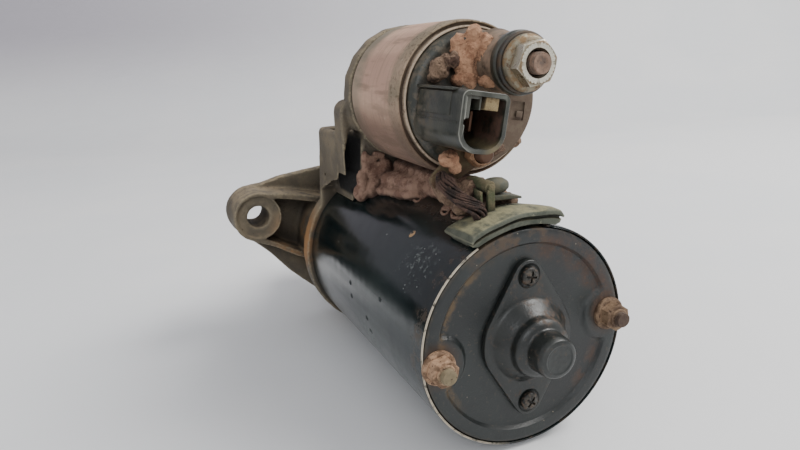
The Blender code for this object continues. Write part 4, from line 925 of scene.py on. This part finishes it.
def make_bearing_cap():
    """The cap's plate with its dome, and the two cross-head screws."""
    outline = belt([(0, 0, 16.5), (0, CAP_SCREW_Z, 5.2), (0, -CAP_SCREW_Z, 5.2)], 32)
    plate = slab("plate", outline, -1.1, 1.1, 0.5)
    for z in (CAP_SCREW_Z, -CAP_SCREW_Z):
        sink = [(0, -0.65), (3.6, -0.65), (4.3, -1.2), (4.3, -3), (0, -3)]
        boolean(plate, lathe("sink", sink, 0.3, (0, z), 48))
    profile = [
        (0, -17.3), (4.4, -17.3, 0.2), (4.8, -17.6, 0.3), (6.2, -17.2, 0.5), (6.8, -15.6, 0.8),
        (7.1, -10.4, 0.8), (8.6, -9.8, 0.5), (9.8, -8.8, 0.7), (10.2, -6.2, 0.6), (11.6, -4.6, 0.8),
        (12.8, -3, 0.9), (14, -1.4, 0.9), (15.2, -0.9, 0.5), (15.2, 0),
    ]
    dome = lathe("dome", profile, 0.4)
    placed(
        joined("bearing_cap_skin", plate, dome), cap_paint(), replaces=["bearing_cap"]
    )
    material = screw_black()
    for place, z, turn in (("upper", CAP_SCREW_Z, 12), ("lower", -CAP_SCREW_Z, 38)):
        at = (0, z)
        head = lathe(
            "head", [(0, -2.9), (1.6, -2.85, 0.5), (3, -2.2, 0.7), (3.2, -1.1, 0.3), (0, -0.5)], 0.4,
            at, 64
        )
        for way in (turn, turn + 90):
            boolean(head, box("cross", (0, -3, z), (0.75, 2.2, 3.9), 0.12, (0, way, 0), 2))
        placed(
            head, material, replaces=[f"cap_screw_{place}"]
        ).name = f"cap_screw_{place}_head"


def make_through_bolts():
    """Flanged hexagon ends, rustier on the right."""
    left = rusty("bolt_left", (104, 80, 60), (158, 128, 102), (112, 104, 80), 2)
    right = rusty("bolt_right", (84, 64, 48), (124, 102, 80), (60, 46, 38), 6)
    for side, at, material, turn in (("left", BOLTS[0], left, 0.2), ("right", BOLTS[1], right, 0.45)):
        disc = [(0, -1.7), (4.9, -1.8, 0.3), (5.7, -1.2, 0.3), (5.7, 0, 0.2), (0, 0.2)]
        flange = lathe("flange", disc, 0.2, at, 64)
        head = chamfered_hexagon("head", 8.4, -5.6, -1.5, at, turn)
        neck = lathe(
            "neck", [(0, -6.4), (3, -6.3, 0.4), (3.3, -5.9, 0.3), (3.3, -5), (0, -5)], 0.3, at, 48
        )
        tip = threaded("tip", 2.6, 0.3, 0.9, -8.2, -6, at)
        bolt = ruffle(joined(f"through_bolt_{side}_end", flange, head, neck, tip), 1.4, 0.03, 3)
        placed(bolt, material, replaces=[f"through_bolt_{side}"])


def make_grommet():
    """A bent rubber strip over the yoke's rear edge: an upper and a lower lip with a groove between."""
    section = rounded([
        (38.2, -0.2, 0.3), (39.9, -0.5, 0.4), (40.1, 0.7, 0.3), (41.1, 0.7, 0.3), (41.2, -1.5, 0.4),
        (42.7, -1.5, 0.6), (42.9, 4, 0.8), (42, 12, 0.8), (41.2, 17.6, 0.8), (39, 18, 0.6),
        (38.3, 14, 0.3), (36.6, 13.8, 0.3), (36.4, 4.2, 0.3), (38.2, 3.8, 0.3),
    ], 0.4, True, 3)
    steps = 90
    points = []
    for k in range(steps + 1):
        share = k / steps
        angle = GROMMET_ANGLE + 21.5 - 47 * share
        end = min(1, 12 * min(share, 1 - share) + 0.5)
        lift = 0.5 * smooth(0.7, 1, share)
        for r, y in section:
            wave = 0.1 * sin(0.35 * angle + 0.2 * y)
            far = 40.2 + (r - 40.2) * end + (wave + lift if r > 39 else 0)
            points.append(on_shell(far, angle, y + 0.3 * sin(0.16 * angle)))
    grommet = ruffle(capped("grommet_skin", points, len(section)), 4, 0.06, 2)
    placed(grommet, old_rubber(), replaces=["grommet"])


def old_rubber():
    """Perished rubber: olive-grey, darker on its lips' faces, with painted shade in its creases and pale
    yellow dust on top.
    """
    look = Look("old_rubber", (84, 87, 74), 0.75)
    look.layer(look.patches(0.42, 0.62, 7, 5, 0.65, seed=3), (66, 70, 60), 0.85)
    pale = look.times(look.facing_up(0.55, 0.95), look.patches(0.34, 0.6, 6, 5, 0.7, (1, 0.5, 1), 6))
    look.layer((pale, 0.85), (148, 142, 108), 0.9)
    look.layer(look.patches(0.3, 0.7, 0.8, 4, 0.7, seed=8), height=0.12)
    # Near-black in the creases: painted shade.
    look.layer((look.crease_dirt_and_shade(2.5), 0.8), (34, 32, 27), 0.9)
    look.layer((look.worn(0.52, 0.58), 0.5), (140, 138, 116), 0.8)
    return look.done()


# ---------------------------------------------------------------- solenoid


def make_can():
    """The can's rolled rim at the rear, slightly dented all round."""
    profile = [
        (23.8, 44), (23.8, 35.2, 0.1), (24.1, 34.8, 0.1), (24.6, 34.9, 0.1), (24.7, 37.6, 0.2),
        (25.6, 37.6, 0.2), (25.8, 36.3, 0.3), (26.4, 36.5, 0.4), (26.8, 39, 1), (26.8, 81.5, 1.5),
        (24.9, 84, 0.8), (10.4, 84), (10.4, 81.8), (23.8, 81.8),
    ]
    def dented(turn, r, y):
        bend = 0.12 * noise.noise(Vector((3 * cos(turn), 3 * sin(turn), 0.06 * y)))
        return (r + bend if r > 24 else r, y)
    can = lathe("solenoid_can_skin", subdivided(profile, 4), 0.2, (0, SOLENOID_Z), 192, True, dented)
    placed(can, dusty_can(), replaces=["solenoid_can"])


def subdivided(profile, longest):
    """The profile with extra corners where it runs further than longest."""
    made = []
    for a, b in zip(profile, profile[1:] + profile[:1]):
        made.append(a)
        pieces = ceil(hypot(b[0] - a[0], b[1] - a[1]) / longest)
        for k in range(1, pieces):
            made.append((a[0] + (b[0] - a[0]) * k / pieces, a[1] + (b[1] - a[1]) * k / pieces, 0))
    return made


def on_plug(across, up):
    return (
        PLUG[0] + across * cos(PLUG_TILT) - up * sin(PLUG_TILT),
        PLUG[1] + across * sin(PLUG_TILT) + up * cos(PLUG_TILT),
    )


def plug_outline(inset, steps=10):
    circles = []
    for up, corner in ((1, 2.4), (-1, 6.6)):
        radius = max(corner - inset, 0.9)
        reach = 8 - inset - radius
        height = up * (9.1 - inset - radius)
        circles += [(*on_plug(side * reach, height), radius) for side in (-1, 1)]
    return belt(circles, steps)


def plug_box(name, across, up, y, bevel=0.15):
    """A box in the tilted plug's directions, each given as (from, to)."""
    middle = on_plug(0.5 * sum(across), 0.5 * sum(up))
    size = (across[1] - across[0], y[1] - y[0], up[1] - up[0])
    return box(name, (middle[0], 0.5 * sum(y), middle[1]), size, bevel, (0, -degrees(PLUG_TILT), 0), 2)


def make_cap():
    """The terminal cap: base, stud boss and the tilted plug socket with its keys and latch."""
    base = [(0, 31.5), (21.5, 31.5, 0.8), (23, 32.4, 0.6), (23.6, 34.4, 0.4), (23.6, 39.6), (0, 39.6)]
    parts = [lathe("base", base, 0.4, (0, SOLENOID_Z), 128)]
    outline = arc(0, SOLENOID_Z, 21.4, radians(-112), radians(106), 60)
    raised = slab("raised", outline, 28.3, 32.2, 0.7)
    boolean(raised, box("pit", (14.8, 28.2, 70.2), (5.2, 1.4, 6.4), 0.3, (0, 8, 0), 2))
    parts.append(box("pit_step", (15.4, 28.4, 69), (2.6, 0.8, 2.2), 0.25, (0, 8, 0), 2))
    parts.append(raised)
    boss = [(0, 18), (9.4, 18), (9.6, 22), (10.4, 28), (11.4, 32), (0, 32)]
    parts.append(lathe("boss", boss, 0.6, STUD, 96))
    collar = [
        (0, 16), (9.6, 16, 0.4), (10.3, 16.5, 0.4), (10.3, 18.8, 0.4), (9.2, 19.6, 0.3), (0, 19.6)
    ]
    parts.append(lathe("collar", collar, 0.3, STUD, 96))
    shell = slab("plug", plug_outline(0), 1, 33, 0.35)
    boolean(shell, slab("plug_room", plug_outline(1.5), -2, 22, 0))
    boolean(shell, plug_box("key", (-6.9, -5.6), (-1, 0.6), (0, 9)))
    parts.append(shell)
    for name, *place in (
        ("panel", (-8.25, -7), (1, 8), (8, 30), 0.2),
        ("crease", (-8.2, -7), (-0.9, -0.3), (3, 31), 0.2),
        ("ledge", (-8.6, -4), (8.5, 9.4), (7, 32), 0.3),
        ("fin", (-2.1, -1.5), (3.6, 7.6), (1.6, 20), 0.15),
        ("key_rib", (-6.8, -4.9), (0.9, 7.8), (1.5, 20), 0.3),
        ("key_shelf", (-5.2, -1.9), (6.6, 7.8), (1.7, 20), 0.3),
    ):
        parts.append(plug_box(name, *place))
    placed(
        joined("terminal_cap_skin", *parts), cap_plastic(), replaces=["terminal_cap"]
    )
    latch = joined(
        "plug_latch", plug_box("block", (-0.2, 4.4), (3.8, 7.7), (1.4, 20), 0.3),
        plug_box("back", (4.2, 5), (5, 7.6), (3, 20), 0.2)
    )
    placed(latch, clay("latch_dust", (150, 132, 96), (112, 92, 66), 5))


def make_battery_terminal(bright):
    """The flanged nut, the dark washer and the stud's hollow end."""
    bore = [(0, 4), (5, 4), (4.6, 7.2, 0.2), (3.9, 8.2, 0.2), (3.9, 16), (0, 16)]
    nut = chamfered_hexagon("nut_hexagon", 13, 7, 12.9, STUD, 0.175)
    boolean(nut, lathe("bore", bore, 0.2, STUD, 64))
    skirt = [
        (4.3, 11.2), (6.3, 11.2, 0.2), (8.3, 11.9, 0.6), (9.1, 12.9, 0.3), (9, 13.7, 0.2), (4.3, 13.7)
    ]
    nut = joined("battery_nut_skin", nut, lathe("flange", skirt, 0.3, STUD, 96, True))
    placed(nut, bright, replaces=["battery_nut"])
    washer = [
        (4.2, 13.8), (9.3, 13.8, 0.3), (9.9, 14.2, 0.3), (9.9, 15.3, 0.3), (9.4, 15.7), (4.2, 15.7)
    ]
    washer = lathe("battery_washer_skin", washer, 0.2, STUD, 96, True)
    dark = plain_metal("dark_washer", (62, 62, 60), (84, 70, 56), 0.5, 0.6, 4)
    placed(washer, dark, replaces=["battery_washer"])
    end = threaded("battery_stud_skin", 3.5, 0.4, 1.25, 5, 34, STUD, 0.25)
    brown = rusty("stud_end", (94, 80, 70), (122, 98, 82), (96, 80, 72), 8)
    placed(end, brown, replaces=["battery_stud"])


def eye(y0, y1):
    """A cutter for the hole round the motor stud."""
    return lathe("eye", [(0, y0), (3.2, y0), (3.2, y1), (0, y1)], 0, MOTOR_STUD, 32)


def make_motor_lead(rust):
    """The braid of strands, its lug and nut, and the small clamp and capsule beside them."""
    copper = rusty("tarnished_copper", (92, 70, 54), (96, 84, 60), (96, 110, 72), 4)
    strands = []
    path = [
        (-17.6, 24, 52.6), (-18.6, 19, 51), (-18, 14.5, 48), (-15.2, 10.6, 45.4), (-12.6, 8.2, 42.6),
        (-12, 8, 37), (-12, 8, 30)
    ]
    count = 16
    for k in range(count):
        turn = 2 * pi * k / count
        strand = []
        for i, (x, y, z) in enumerate(path):
            twist = turn + 0.9 * i + 0.5 * sin(3 * k)
            spread = 1.3 + (0.8 + 0.5 * sin(5 * k + i) if 0 < i < 5 else 0)
            rise = spread * 0.5 * sin(twist + 1)
            strand.append((x + spread * cos(twist), y + spread * sin(twist) * 0.8, z + rise))
        strands.append(tube(f"strand_{k}", strand, 0.42))
    braid = clay("braid", (88, 66, 56), (44, 34, 30), 3)
    placed(joined("motor_lead_braid", *strands), braid, replaces=["motor_lead"])
    lug_outline = belt([(*MOTOR_STUD, 5.2), (-16.5, 50, 3.4)])
    lug = slab("lug", lug_outline, 26.2, 28, 0.3)
    boolean(lug, eye(20, 32))
    placed(ruffle(lug, 3, 0.2), copper, replaces=["lead_lug"]).name = "lead_lug_skin"
    nut = merged(chamfered_hexagon("motor_nut_skin", 8, 20, 24.4, MOTOR_STUD, 0.2))
    boolean(nut, eye(18, 30))
    placed(nut, rust, replaces=["motor_nut"])
    olive = clay("verdigris", (118, 108, 82), (84, 88, 62), 7)
    plate = box("plate", (-9.6, 15.5, 44.6), (1, 11, 7.4), 0.25, (0, 0, -8))
    post = box("post", (-6.9, 10.4, 44.4), (2.8, 1.6, 8.6), 0.4)
    barrel = lathe(
        "barrel", [(0, 9.6), (1.1, 9.6), (1.2, 10.4), (1.9, 10.4), (2.1, 11.4), (2.1, 23), (0, 23)],
        0.3, (-6.9, 49.2), 32
    )
    placed(ruffle(joined("lead_clamp", plate, post, barrel), 2, 0.2, 5), olive)
    dark = plain_matter("capsule_dark", (64, 66, 54), (84, 80, 62), 0.6, 3, 0.5, 6)
    capsule = ellipsoids("capsule_end", [(-2.6, 15, 48.4, 5.2, 3, 2.9)], 3)
    blade = slab("blade", [(-5, 44.4), (5.6, 43.9), (5.4, 44.5), (1, 45.6), (-5, 46)], 11.5, 17.5, 0.2)
    placed(ruffle(joined("lead_capsule", capsule, blade), 2, 0.15, 6), dark)


# ---------------------------------------------------------------- castings and clay


def slimmed(cast):
    """Draws the rims of both ears a little closer to their bolt holes."""
    for vertex in cast.data.vertices:
        side = -1 if vertex.co.x < 0 else 1
        off_x = vertex.co.x - side * EAR[0]
        off_z = vertex.co.z + side * EAR[1]
        share = smooth(40, 54, side * vertex.co.x)
        squeeze = 1 - 0.1 * share * smooth(9, 13, hypot(off_x, off_z))
        vertex.co.x = side * EAR[0] + off_x * squeeze - 0.8 * side * share
        vertex.co.z = -side * EAR[1] + off_z * squeeze
    return cast


def make_housing():
    """The casting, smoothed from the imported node, with a deeper slot in its arm."""
    cad = nodes["drive_end_housing"]
    cast = linked("drive_end_housing_cast", cad.data.copy())
    cast.data.transform(TO_WORLD.inverted())
    merged(cast, 0.01)
    slot = [(-26.3, 62.4), (-21.3, 60.4), (-22.6, 43.6), (-29, 40), (-29, 52)]
    boolean(cast, slab("slot", slot, 80, 104, 0))
    remeshed(cast, CAST_VOXEL, 3, CAST_TRIANGLES)
    slimmed(cast)
    ruffle(cast, 7, 0.12, 2)
    placed(cast, cast_metal(), replaces=["drive_end_housing"], sharp=50)


def make_clay():
    """Dried mud between the solenoid and the yoke, on the terminal cap and under the plug."""
    pink = clay("pink_clay", (158, 128, 110), (124, 94, 80), 2)
    orange = clay("orange_clay", (196, 152, 120), (164, 120, 92), 5)
    brown = clay("brown_clay", (136, 112, 92), (88, 66, 54), 8)
    blobs = []
    for k in range(18):
        y = 24 + 5.4 * k
        blobs.append((0.5, y, 41.5, 8.2, 4.6, 4.6))
        blobs.append((-4.5, y, 39.6, 4.4, 4.2, 2.6))
        blobs.append((5.5, y, 39.6, 4.6, 4.2, 2.8))
        blobs.append((-2.5, y + 2, 45.4, 6.5, 4, 3.4))
    for k in range(6):
        y = 62 + 5.4 * k
        blobs.append((-8 - 0.5 * k, y, 41.5 - 0.3 * k, 5.4, 4.6, 3.6))
        blobs.append((-11.5 - 0.7 * k, y, 37.8 - 0.4 * k, 3.6, 4.4, 2))
    for y in (104, 80.6, 57.4, 34):
        blobs.append((-9, y + 1.8, 37.2, 2.6, 3.6, 0.9))
    placed(lump("clay_channel", blobs, 0.7, 6, 0.7, 3), pink)
    wall = [
        (-20.6, 87.8, 47.5, 2, 1.6, 5), (-22.6, 87.8, 41, 2.2, 1.8, 4.5), (-22.8, 88.4, 35.5, 3.4, 2.2, 4),
        (-17, 88.2, 43.5, 3.4, 1.4, 5), (-17, 87.6, 36.5, 5, 2.4, 4.5), (-14.4, 87.8, 50.5, 3.2, 1.5, 2),
        (-18.4, 87.4, 49, 3.2, 1.5, 1.6), (-12, 88, 43, 4, 2, 6),
    ]
    placed(lump("clay_wall", wall, 0.45, 3.5, 0.5, 6), pink)
    loops = []
    drip = (
        (38.4, 101, 6.5), (38.3, 106.5, 2.8), (38.2, 108.8, -0.2), (38.2, 108, -1.8), (38.3, 104.5, -1.2),
        (38.5, 99.5, -0.4),
    )
    for k, y in enumerate((105, 81, 57.8, 34.4)):
        path = [on_shell(far, angle, y + off) for far, angle, off in drip]
        loops.append(tube(f"loop_{k}", path, 0.6))
    edge = [on_shell(38.4, 105 + 3 * sin(0.9 * k), 31 - 2.6 * k) for k in range(12)]
    loops.append(tube("loop_edge", edge, 0.7))
    placed(ruffle(joined("clay_drips", *loops), 2, 0.25, 4), pink)
    heap = [(-9, 20, 46, 5, 5, 4.5), (-13, 17, 43, 4, 4, 4), (-8, 16, 41, 4, 5.5, 3)]
    heap += [(-2, 21, 43, 6, 4, 3.5), (4, 20, 41.5, 5, 4, 3), (-15, 25, 47, 4, 5, 5.5)]
    placed(lump("clay_heap", heap, 0.6, 4, 0.8, 7), brown)
    mouthful = [(-15, 22.5, 57.5, 3.2, 3.4, 3), (-13.5, 22, 55, 2, 2.4, 2.4)]
    placed(lump("clay_under_plug", mouthful, 0.35, 2.5, 0.5, 2), orange)
    bridge = [(-1.5, 28.6, 92, 3.6, 2.4, 5), (-3.5, 28.8, 84, 3.4, 2.4, 5.5), (-2, 28.2, 97, 3, 2, 2.4)]
    bridge += [
        (1.5, 26.5, 90, 3, 3.6, 6.5), (-6.5, 29.6, 82.2, 3.6, 2, 2.2), (3, 24.5, 81.5, 5, 4, 2.6)
    ]
    bridge += [(-6, 29.6, 92, 4, 1.6, 5), (-5, 28.8, 87.5, 4.4, 2, 4.4), (3, 24, 86, 3, 4, 5)]
    placed(lump("clay_bridge", bridge, 0.45, 3, 0.6, 4), orange)
    clod = [
        (-14, 29.4, 86, 3.4, 2.6, 3.6), (-12, 28.4, 88.2, 2, 2.2, 2.6),
        (-15.6, 29.6, 83.6, 2.6, 2.2, 2.2)
    ]
    clod += [(-9.6, 27.8, 88.8, 1.6, 1.6, 2.8)]
    placed(lump("clay_clod", clod, 0.35, 2.2, 0.6, 9), brown)
    lower = [(13, 31, 60, 5, 1.6, 3), (6, 30, 58, 5, 2.4, 3.4), (-4, 29, 61, 6, 2.5, 2.5)]
    placed(lump("clay_lower_cap", lower, 0.5, 3, 0.5, 12), brown)


# ---------------------------------------------------------------- inside


def dress_inside(bright, rust):
    """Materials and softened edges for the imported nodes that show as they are."""
    oiled = plain_metal("oiled_steel", (150, 150, 148), (110, 104, 94), 0.3, seed=2)
    spring = plain_metal("spring_steel", (120, 120, 122), (96, 88, 78), 0.32, seed=3)
    copper = plain_metal("copper", (188, 112, 76), (128, 78, 54), 0.32, seed=4)
    bronze = plain_metal("bronze", (160, 120, 70), (112, 84, 50), 0.42, seed=5)
    nylon = plain_matter("nylon", (196, 186, 160), (172, 158, 126), 0.5, 6, 0.5, 3)
    looks = {
        "bright_steel": oiled,
        "copper": copper,
        "bronze": bronze,
        "nylon": nylon,
        "magnet": plain_matter("ferrite", (58, 58, 60), (74, 72, 70), 0.55, 4, 0.5, 6),
        "carbon": plain_matter("carbon", (46, 44, 42), (74, 58, 48), 0.5, 2, 0.3, 7),
        "lamination": laminations(),
        "fibre": plain_matter("fibre_board", (140, 100, 60), (108, 76, 46), 0.65, 5, 0.6, 8),
        "rubber": plain_matter("gasket", (34, 34, 34), (52, 50, 46), 0.75, 4, 0.5, 9),
        "zinc_steel": bright,
        "rusty_steel": rust,
    }
    turns = wound_copper()
    tarnish = plain_metal("dull_copper", (92, 66, 50), (60, 48, 38), 0.6, 0.4, 9)
    special = {"winding_front": turns, "winding_rear": turns, "solenoid_coil": turns}
    special.update({"motor_stud": tarnish, "plug_tab": tarnish})
    slots = {entry["node"]: entry["material_slot"] for entry in frame["record"]["subparts"]}
    for name, node in nodes.items():
        material = special.get(name) or looks.get(slots[name])
        if material is None or name == "return_spring":
            continue
        node.data.materials.clear()
        node.data.materials.append(material)
        weld = node.modifiers.new("weld", "WELD")
        weld.merge_threshold = 1e-6
        soft = node.modifiers.new("soft", "BEVEL")
        soft.width = 0.00018
        soft.segments = 2
        soft.angle_limit = radians(40)
        soft.use_clamp_overlap = True
        node.data.shade_smooth()
        node.data.set_sharp_from_angle(angle=radians(30))
    coil = []
    for k in range(5 * 24 + 1):
        turn = 2 * pi * k / 24
        coil.append((4.9 * cos(turn), 49.4 + 22.5 * k / 120, SOLENOID_Z + 4.9 * sin(turn)))
    wire = placed(
        tube("return_spring_wire", coil, 0.7, 12), spring, replaces=["return_spring"]
    )
    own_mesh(wire)


# ---------------------------------------------------------------- stage


def make_stage():
    """A pale floor that curves up into a backdrop behind the motor, square to the camera."""
    points = []
    sweep = [(-3, 0), (0.75, 0)]
    bends = [0.5 * pi * k / 12 for k in range(1, 13)]
    sweep += [(0.75 + 0.45 * sin(bend), 0.45 - 0.45 * cos(bend)) for bend in bends]
    sweep += [(1.2, 3)]
    turn = Matrix.Rotation(CAMERA_AZIMUTH, 4, "Z")
    for x in (-4, 4):
        points += [turn @ Vector((x, y, z)) for y, z in sweep]
    count = len(sweep)
    faces = [[k, k + 1, count + k + 1, count + k] for k in range(count - 1)]
    floor = mesh_object("floor", points, faces)
    floor.data.materials.append(backdrop_paper())
    floor.data.shade_smooth()


def make_flag():
    """A low black card that only reflections see: it gives the glossy yoke its dark band."""
    x0, y0, x1, y1, top = FLAG
    flag = mesh_object("flag", [(x0, y0, 0), (x1, y1, 0), (x1, y1, top), (x0, y0, top)], [[0, 1, 2, 3]])
    black = Look("flag_black", (8, 9, 9), 0.9)
    flag.data.materials.append(black.layer(black.noise(20), (12, 13, 13), 0.9).done())
    flag.visible_camera = False
    flag.visible_diffuse = False
    flag.visible_shadow = False
    flag.visible_transmission = False


def area_light(name, place, target, size, power, colour=(1, 1, 1)):
    light = bpy.data.lights.new(name, "AREA")
    light.shape = "RECTANGLE"
    light.size, light.size_y = size
    light.energy = power
    light.color = colour
    made = bpy.data.objects.new(name, light)
    made.location = place
    made.rotation_euler = (Vector(place) - Vector(target)).to_track_quat("Z", "Y").to_euler()
    bpy.context.scene.collection.objects.link(made)


def make_lights():
    """Soft even light all round, with a warm key from the right and a weak cool fill from the left."""
    world = bpy.data.worlds.new("studio")
    world.use_nodes = True
    background = world.node_tree.nodes["Background"]
    background.inputs["Color"].default_value = WORLD_COLOUR
    background.inputs["Strength"].default_value = WORLD_STRENGTH
    bpy.context.scene.world = world
    area_light("key", (0.85, -0.35, 1.1), (0, 0, 0.05), (0.9, 0.7), 22, (1, 0.98, 0.95))
    area_light("fill", (-0.6, -1.1, 0.8), (0, 0, 0.05), (0.7, 0.5), 4, (0.94, 0.97, 1))


def make_camera():
    """A camera without shift or depth of field, turned by its azimuth, height and roll."""
    camera = bpy.data.objects.new("camera", bpy.data.cameras.new("camera"))
    camera.data.lens = LENS
    camera.data.sensor_width = SENSOR
    camera.data.clip_start = 0.01
    level = cos(CAMERA_HEIGHT)
    back = Vector((sin(CAMERA_AZIMUTH) * level, -cos(CAMERA_AZIMUTH) * level, sin(CAMERA_HEIGHT)))
    right = Vector((cos(CAMERA_AZIMUTH), sin(CAMERA_AZIMUTH), 0))
    up = back.cross(right)
    turned_right = right * cos(CAMERA_ROLL) + up * sin(CAMERA_ROLL)
    turned_up = up * cos(CAMERA_ROLL) - right * sin(CAMERA_ROLL)
    camera.matrix_world = Matrix((turned_right, turned_up, back)).transposed().to_4x4()
    camera.location = CAMERA_PLACE
    bpy.context.scene.collection.objects.link(camera)
    bpy.context.scene.camera = camera


make_yoke()
make_rear_cover()
make_bearing_cap()
make_through_bolts()
make_grommet()
make_can()
make_cap()
BRIGHT = zinc()
RUST = rusty("rusty_steel", (120, 88, 64), (156, 122, 92), (84, 60, 44), 3)
make_battery_terminal(BRIGHT)
make_motor_lead(RUST)
make_housing()
make_clay()
dress_inside(BRIGHT, RUST)
make_stage()
make_flag()
make_lights()
make_camera()
